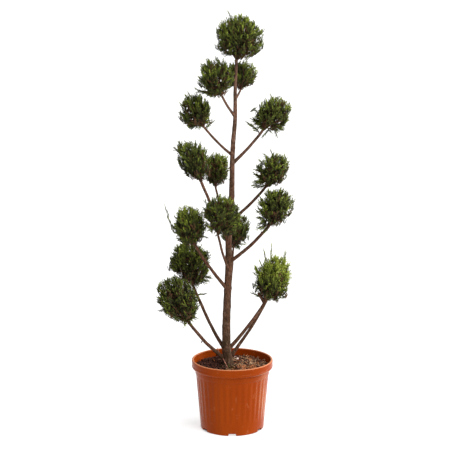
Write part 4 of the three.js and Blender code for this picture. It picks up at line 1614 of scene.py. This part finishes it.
def main_twigs(foliage, crown):
    """The twigs that fan out from the entry, as paths and half thicknesses, the leader first."""
    rng = np.random.default_rng(crown.seed + TWIG_DRAWS)
    axis = crown.axis()
    order = np.arange(foliage.twigs)[:, None]
    turn = order * GOLDEN_ANGLE + rng.uniform(0.0, ANY_TURN)
    lean = np.radians(crown.ball.cone) * np.sqrt(order / foliage.twigs) * MAIN_FAN
    ways = axis * np.cos(lean) + ways_round(axis, turn) * np.sin(lean)
    ends = crown.around(ways * 2.0 * np.cos(lean) * rng.uniform(*MAIN_REACH, lean.shape) - axis)
    starts = np.repeat((crown.entry - crown.lead * MAIN_SUNK)[None], foliage.twigs, axis=0)
    bends = starts + MAIN_BEND * (ends - starts) + crown.lead * MAIN_LIFT * crown.size[2]
    paths = bows(starts, bends, ends, MAIN_POINTS)
    paths[:, 2:-1] += rng.normal(0.0, MAIN_CROOKS, paths[:, 2:-1].shape)
    thick = np.where(order == 0, LEADER_THICK, MAIN_THICK) * crown.radius
    taper = np.linspace(1.0, 0.0, MAIN_POINTS)
    return paths, thick * taper + MAIN_TIP * (1.0 - taper)


FINE_POINTS = 5
FINE_SIDES = 3
FINE_ROOT, FINE_TIP = 1.0 * MM, 0.45 * MM
FINE_STRUNG = 0.6
FINE_END = 0.8
BEYOND_ROOM, BEYOND_COST = 1 * MM, 50 * MM


def fine_twigs(crown, main, tufts, sprays):
    """A twig for each tuft, from the nearest twig that is nearer the entry up to the tuft's sprays."""
    reach = tufts.lengths[:, None] * tufts.ways
    bases = tufts.tips - reach * (TUFT_ROOT + TUFT_PITCH * (sprays - 1))
    knots = np.concatenate((main[:, 1:].reshape(-1, 3), bases[tufts.strung]))
    apart = np.linalg.norm(bases[:, None] - knots[None], axis=-1)
    depth = np.linalg.norm(bases - crown.entry, axis=-1)[:, None]
    beyond = np.linalg.norm(knots - crown.entry, axis=-1)[None] > depth - BEYOND_ROOM
    starts = knots[np.argmin(apart + BEYOND_COST * beyond, axis=1)]
    paths = bows(starts, bases, tufts.tips - reach * FINE_END, FINE_POINTS)
    thin = np.where(tufts.strung, FINE_STRUNG, 1.0)[:, None]
    return paths, np.linspace(FINE_ROOT, FINE_TIP, FINE_POINTS) * thin


class TOPIARY_OT_grow_twigs(bpy.types.Operator):
    """Grow the twigs that fan up from each limb's tip into its ball"""

    bl_idname = "topiary.grow_twigs"
    bl_label = "Grow Twigs"

    def execute(self, context):
        settings = context.scene.topiary
        foliage = settings.foliage
        finish = twig_finish(settings.wood)
        for crown in crowns(settings):
            main, main_radii = main_twigs(foliage, crown)
            fine, fine_radii = fine_twigs(crown, main, grow(settings, crown), foliage.tuft_sprays)
            places, triangles = tubes(main, main_radii, MAIN_SIDES)
            fine_places, fine_triangles = tubes(fine, fine_radii, FINE_SIDES)
            triangles = np.concatenate((triangles, fine_triangles + len(places)))
            places = np.concatenate((places, fine_places))
            show(mesh_from_arrays(f"twigs_{crown.ball.name}", places, triangles), [finish], "bark")
        return {"FINISHED"}


# A spray of unit length: its spine, and the leaves along both sides
SPINE_BEND, SPINE_SWAY = 0.12, 0.25
SPINE_LAP = 0.08
SIDE_FIRST, SIDE_LAST = 0.12, 0.94
SIDE_SLOT = (0.1, 0.9)
SIDE_ANGLES = (24.0, 44.0)
SIDE_LIFT = 0.3
SIDE_REACH, SIDE_SHORTEN = 0.27, 0.5
SIDE_LENGTHS = (0.75, 1.25)
SIDE_ENDS = 0.8
LEAF_ROLL = 0.25
LEAF_WIDTHS = (0.8, 1.2)
LEAF_THICKNESS = 0.35


def spray_form(rng, foliage):
    """A feathery spray of unit length along Y: its leaves' corners, and how far up it each one ends."""
    bend = rng.normal(0.0, SPINE_BEND)

    def spine(part):
        return np.stack((SPINE_SWAY * bend * part**2, part, bend * part**2), axis=-1)

    joints = np.linspace(0.0, 1.0, foliage.spine_leaves + 1)
    ends = np.minimum(joints[1:] + SPINE_LAP, 1.0)
    count = foliage.side_leaves
    order = np.arange(count)
    slots = (order + rng.uniform(*SIDE_SLOT, count)) / count
    parts = SIDE_FIRST + (SIDE_LAST - SIDE_FIRST) * slots
    sides = np.where(order % 2, 1.0, -1.0)
    spread = np.radians(rng.uniform(*SIDE_ANGLES, count))
    lift = rng.normal(0.0, SIDE_LIFT, count)
    ways = unit(np.stack((sides * np.sin(spread), np.cos(spread), lift), axis=-1))
    reach = SIDE_REACH * (1.0 - SIDE_SHORTEN * parts) * rng.uniform(*SIDE_LENGTHS, count)
    roots = np.concatenate((spine(joints[:-1]), spine(parts)))
    tips = np.concatenate((spine(ends), spine(parts) + ways * reach[:, None]))
    faces = np.array(UP) + rng.normal(0.0, LEAF_ROLL, roots.shape)
    widths = foliage.leaf_width * rng.uniform(*LEAF_WIDTHS, len(roots))
    leaves = slivers(roots, tips, widths, LEAF_THICKNESS * widths, faces)
    return leaves, np.concatenate((ends, parts + SIDE_ENDS * reach))


def lay_sprays(rng, forms, roots, tips, full):
    """Corners of every leaf of sprays that run from roots to tips."""
    pick = rng.integers(0, len(forms), len(roots))
    local = np.stack([form for form, _ in forms])[pick]
    along = tips - roots
    lengths = np.linalg.norm(along, axis=-1)
    ahead = along / lengths[:, None]
    across = unit(np.cross(ahead, rng.normal(0.0, 1.0, roots.shape)))
    face = np.cross(across, ahead)
    wide = (lengths * full)[:, None, None, None]
    tall = lengths[:, None, None, None]
    corners = (
        roots[:, None, None]
        + local[..., 0:1] * wide * across[:, None, None]
        + local[..., 1:2] * tall * ahead[:, None, None]
        + local[..., 2:3] * wide * face[:, None, None]
    )
    ends = np.stack([end for _, end in forms])[pick]
    return corners, ends


class TOPIARY_OT_leaf_out(bpy.types.Operator):
    """Cover each ball's twigs with tufts of scale leaves, and let a few stray ones hang out"""

    bl_idname = "topiary.leaf_out"
    bl_label = "Leaf Out"

    TINTS = ("shade", "deep", "mid", "clear", "fresh", "pale", "dry")
    DRY = TINTS.index("dry")
    FORMS = 14

    # How far a tuft's first spray and the others lean out, and how long the others are
    FIRST_FAN, FAN = 0.08, (0.2, 0.5)
    SIZES = (0.7, 1.0)

    # Steps of green from a tuft's level: for its first spray, for each next one, and by chance. Each spray
    # further back in a tuft is painted in more shade.
    FIRST_BRIGHTER, NEXT_DARKER, CHANCE = 0.4, 0.25, 0.6
    FIRST_DRY, NEXT_DRIER = 0.2, 0.5

    # Steps of green along a spray, the part with the spray's own tint, and by chance. The brighter tips are
    # partly fresh growth, and the darker bases are partly painted shade.
    TIP_BRIGHTER, OWN_TINT, LEAF_CHANCE = 1.7, 0.6, 0.2

    def execute(self, context):
        settings = context.scene.topiary
        foliage = settings.foliage
        finishes = [leaf_finish(f"leaf_{tint}", getattr(foliage, f"{tint}_colour")) for tint in self.TINTS]
        forms_rng = np.random.default_rng(settings.seed + FORM_DRAWS)
        forms = [spray_form(forms_rng, foliage) for _ in range(self.FORMS)]
        for crown in crowns(settings):
            rng = np.random.default_rng(crown.seed + SPRAY_DRAWS)
            sprays = self.sprays(rng, grow(settings, crown), foliage.tuft_sprays)
            free = clear_of_gaps(crown, sprays[0], sprays[1])
            roots, tips, full, level, dry = (row[free] for row in sprays)
            leaves, ends = lay_sprays(rng, forms, roots, tips, full)
            tints = self.tints(rng, level, dry, ends).ravel()
            mesh = mesh_of_blades(f"foliage_{crown.ball.name}", leaves, tints)
            show(mesh, finishes, "foliage", f"pompon_{crown.ball.name}")
        return {"FINISHED"}

    def sprays(self, rng, tufts, count):
        """The sprays of every tuft: one at its end, and others that fan out round it from a little lower."""
        step = np.arange(count)
        shape = (len(tufts.tips), count)
        turn = rng.uniform(0.0, 2 * math.pi, (shape[0], 1)) + step * GOLDEN_ANGLE
        side = unit(np.cross(tufts.ways, rng.normal(0.0, 1.0, tufts.ways.shape)))
        other = np.cross(tufts.ways, side)
        round_it = side[:, None] * np.cos(turn)[..., None] + other[:, None] * np.sin(turn)[..., None]
        fan = np.where(step == 0, self.FIRST_FAN, rng.uniform(*self.FAN, shape)) * tufts.full[:, None]
        ahead = unit(tufts.ways[:, None] + fan[..., None] * round_it)
        back = tufts.lengths[:, None] * (TUFT_ROOT + TUFT_PITCH * step)
        size = tufts.lengths[:, None] * np.where(step == 0, TUFT_ROOT, rng.uniform(*self.SIZES, shape))
        roots = tufts.tips[:, None] - tufts.ways[:, None] * back[..., None]
        tips = roots + ahead * size[..., None]
        # Painted shade: the sprays further back in a tuft get darker greens
        brighter = self.FIRST_BRIGHTER - self.NEXT_DARKER * step
        level = tufts.level[:, None] + brighter + rng.normal(0.0, self.CHANCE, shape)
        dry = rng.random(shape) < tufts.dry[:, None] * (self.FIRST_DRY + self.NEXT_DRIER * step)
        full = np.broadcast_to(tufts.full[:, None], shape)
        return roots.reshape(-1, 3), tips.reshape(-1, 3), full.ravel(), level.ravel(), dry.ravel()

    def tints(self, rng, level, dry, ends):
        """The tint of every leaf: brighter towards a spray's tip and darker at its base, partly as fresh
        growth and partly as painted shade, and brown on dry sprays.
        """
        green = level[:, None] + self.TIP_BRIGHTER * (ends - self.OWN_TINT)
        green = np.round(green + rng.normal(0.0, self.LEAF_CHANCE, ends.shape))
        return np.where(dry[:, None], self.DRY, np.clip(green, 0, self.DRY - 1))


FLOOR_GREY = (0.45, 0.45, 0.45)
SHADE_FADE = 4 * MM


def floor_finish(stage):
    """A plain pale floor that stays white, with a bright warm patch that the pot's side mirrors, and with a
    dark disc under the pot that shows behind its notches."""
    finish = Finish("pale_floor", roughness=0.9, specular=0.1).wear("Base Color", FLOOR_GREY)
    near = finish.nearness(stage.lit_radius, (stage.lit_x, stage.lit_y, 0.0))
    lit = finish.ramp(near, ((0.0, 0.0), (0.6, 1.0)))
    finish.wear("Emission Color", finish.mix(lit, WHITE, stage.lit_tint))
    disc = finish.ramp(finish.nearness(2 * stage.shade_radius), ((0.48, 0.0), (0.54, 1.0)))
    behind = finish.axis("Y", -stage.shade_front - SHADE_FADE, -stage.shade_front)
    shade = finish.mix(behind, BLACK, disc)
    bright = finish.mix(lit, (stage.floor_glow,) * 3, (stage.lit_glow,) * 3)
    return finish.wear("Emission Strength", finish.mix(shade, bright, BLACK)).material


class TOPIARY_OT_set_stage(bpy.types.Operator):
    """Lay the pale floor, hang the lights and set the camera"""

    bl_idname = "topiary.set_stage"
    bl_label = "Set Stage"

    FLOOR_SIDES = 64

    def execute(self, context):
        scene = context.scene
        stage = scene.topiary.stage
        shape = bmesh.new()
        bmesh.ops.create_circle(shape, cap_ends=True, segments=self.FLOOR_SIDES, radius=stage.floor_radius)
        floor = bpy.data.objects.new("pale_floor", mesh_of(shape, "pale_floor"))
        floor.data.materials.append(floor_finish(stage))
        scene.collection.objects.link(floor)
        self.light(scene, stage)
        lens = bpy.data.cameras.new("camera")
        lens.lens = stage.lens
        lens.clip_end = 2 * stage.floor_radius
        camera = bpy.data.objects.new("camera", lens)
        camera.location = (stage.camera_x, -stage.camera_distance, stage.camera_height)
        camera.rotation_euler = (math.pi / 2 - stage.camera_pitch, 0.0, 0.0)
        scene.collection.objects.link(camera)
        scene.camera = camera
        scene.view_settings.view_transform = "Standard"
        return {"FINISHED"}

    def light(self, scene, stage):
        """A soft key light, another soft one from the right, and even light from all round."""
        self.lamp(scene, stage, "key_light", stage.sun, stage.sun_heading, stage.sun_rise)
        self.lamp(scene, stage, "side_light", stage.side, stage.side_heading, stage.side_rise)
        world = bpy.data.worlds.new("studio")
        world.use_nodes = True
        backdrop = world.node_tree.nodes["Background"]
        backdrop.inputs["Color"].default_value = (*WHITE, 1.0)
        backdrop.inputs["Strength"].default_value = stage.sky
        scene.world = world

    def lamp(self, scene, stage, name, strength, heading, rise):
        """A soft light from far away."""
        sun = bpy.data.lights.new(name, "SUN")
        sun.energy = strength
        sun.angle = stage.softness
        lamp = bpy.data.objects.new(name, sun)
        towards = Vector(heading_way(heading, rise))
        lamp.rotation_euler = towards.to_track_quat("Z", "Y").to_euler()
        scene.collection.objects.link(lamp)


OPERATORS = (
    TOPIARY_OT_mould_pot,
    TOPIARY_OT_fill_soil,
    TOPIARY_OT_scatter_litter,
    TOPIARY_OT_raise_trunk,
    TOPIARY_OT_bend_boughs,
    TOPIARY_OT_grow_twigs,
    TOPIARY_OT_leaf_out,
    TOPIARY_OT_set_stage,
)


class TOPIARY_PT_workbench(bpy.types.Panel):
    """Buttons for the steps that grow the topiary"""

    bl_idname = "TOPIARY_PT_workbench"
    bl_label = "Pompon Topiary"
    bl_space_type = "VIEW_3D"
    bl_region_type = "UI"
    bl_category = "Topiary"

    def draw(self, context):
        settings = context.scene.topiary
        self.layout.prop(settings, "seed")
        for operator in OPERATORS:
            self.layout.operator(operator.bl_idname)


SETTINGS = (PotSettings, SoilSettings, WoodSettings, FoliageSettings, StageSettings, TopiarySettings)
CLASSES = (*SETTINGS, *OPERATORS, TOPIARY_PT_workbench)


def register():
    for each in CLASSES:
        bpy.utils.register_class(each)
    bpy.types.Scene.topiary = PointerProperty(type=TopiarySettings)


def unregister():
    del bpy.types.Scene.topiary
    for each in reversed(CLASSES):
        bpy.utils.unregister_class(each)


def main():
    register()
    bpy.ops.topiary.mould_pot()
    bpy.ops.topiary.fill_soil()
    bpy.ops.topiary.scatter_litter()
    bpy.ops.topiary.raise_trunk()
    bpy.ops.topiary.bend_boughs()
    bpy.ops.topiary.grow_twigs()
    bpy.ops.topiary.leaf_out()
    bpy.ops.topiary.set_stage()
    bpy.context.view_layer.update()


if __name__ == "__main__":
    main()
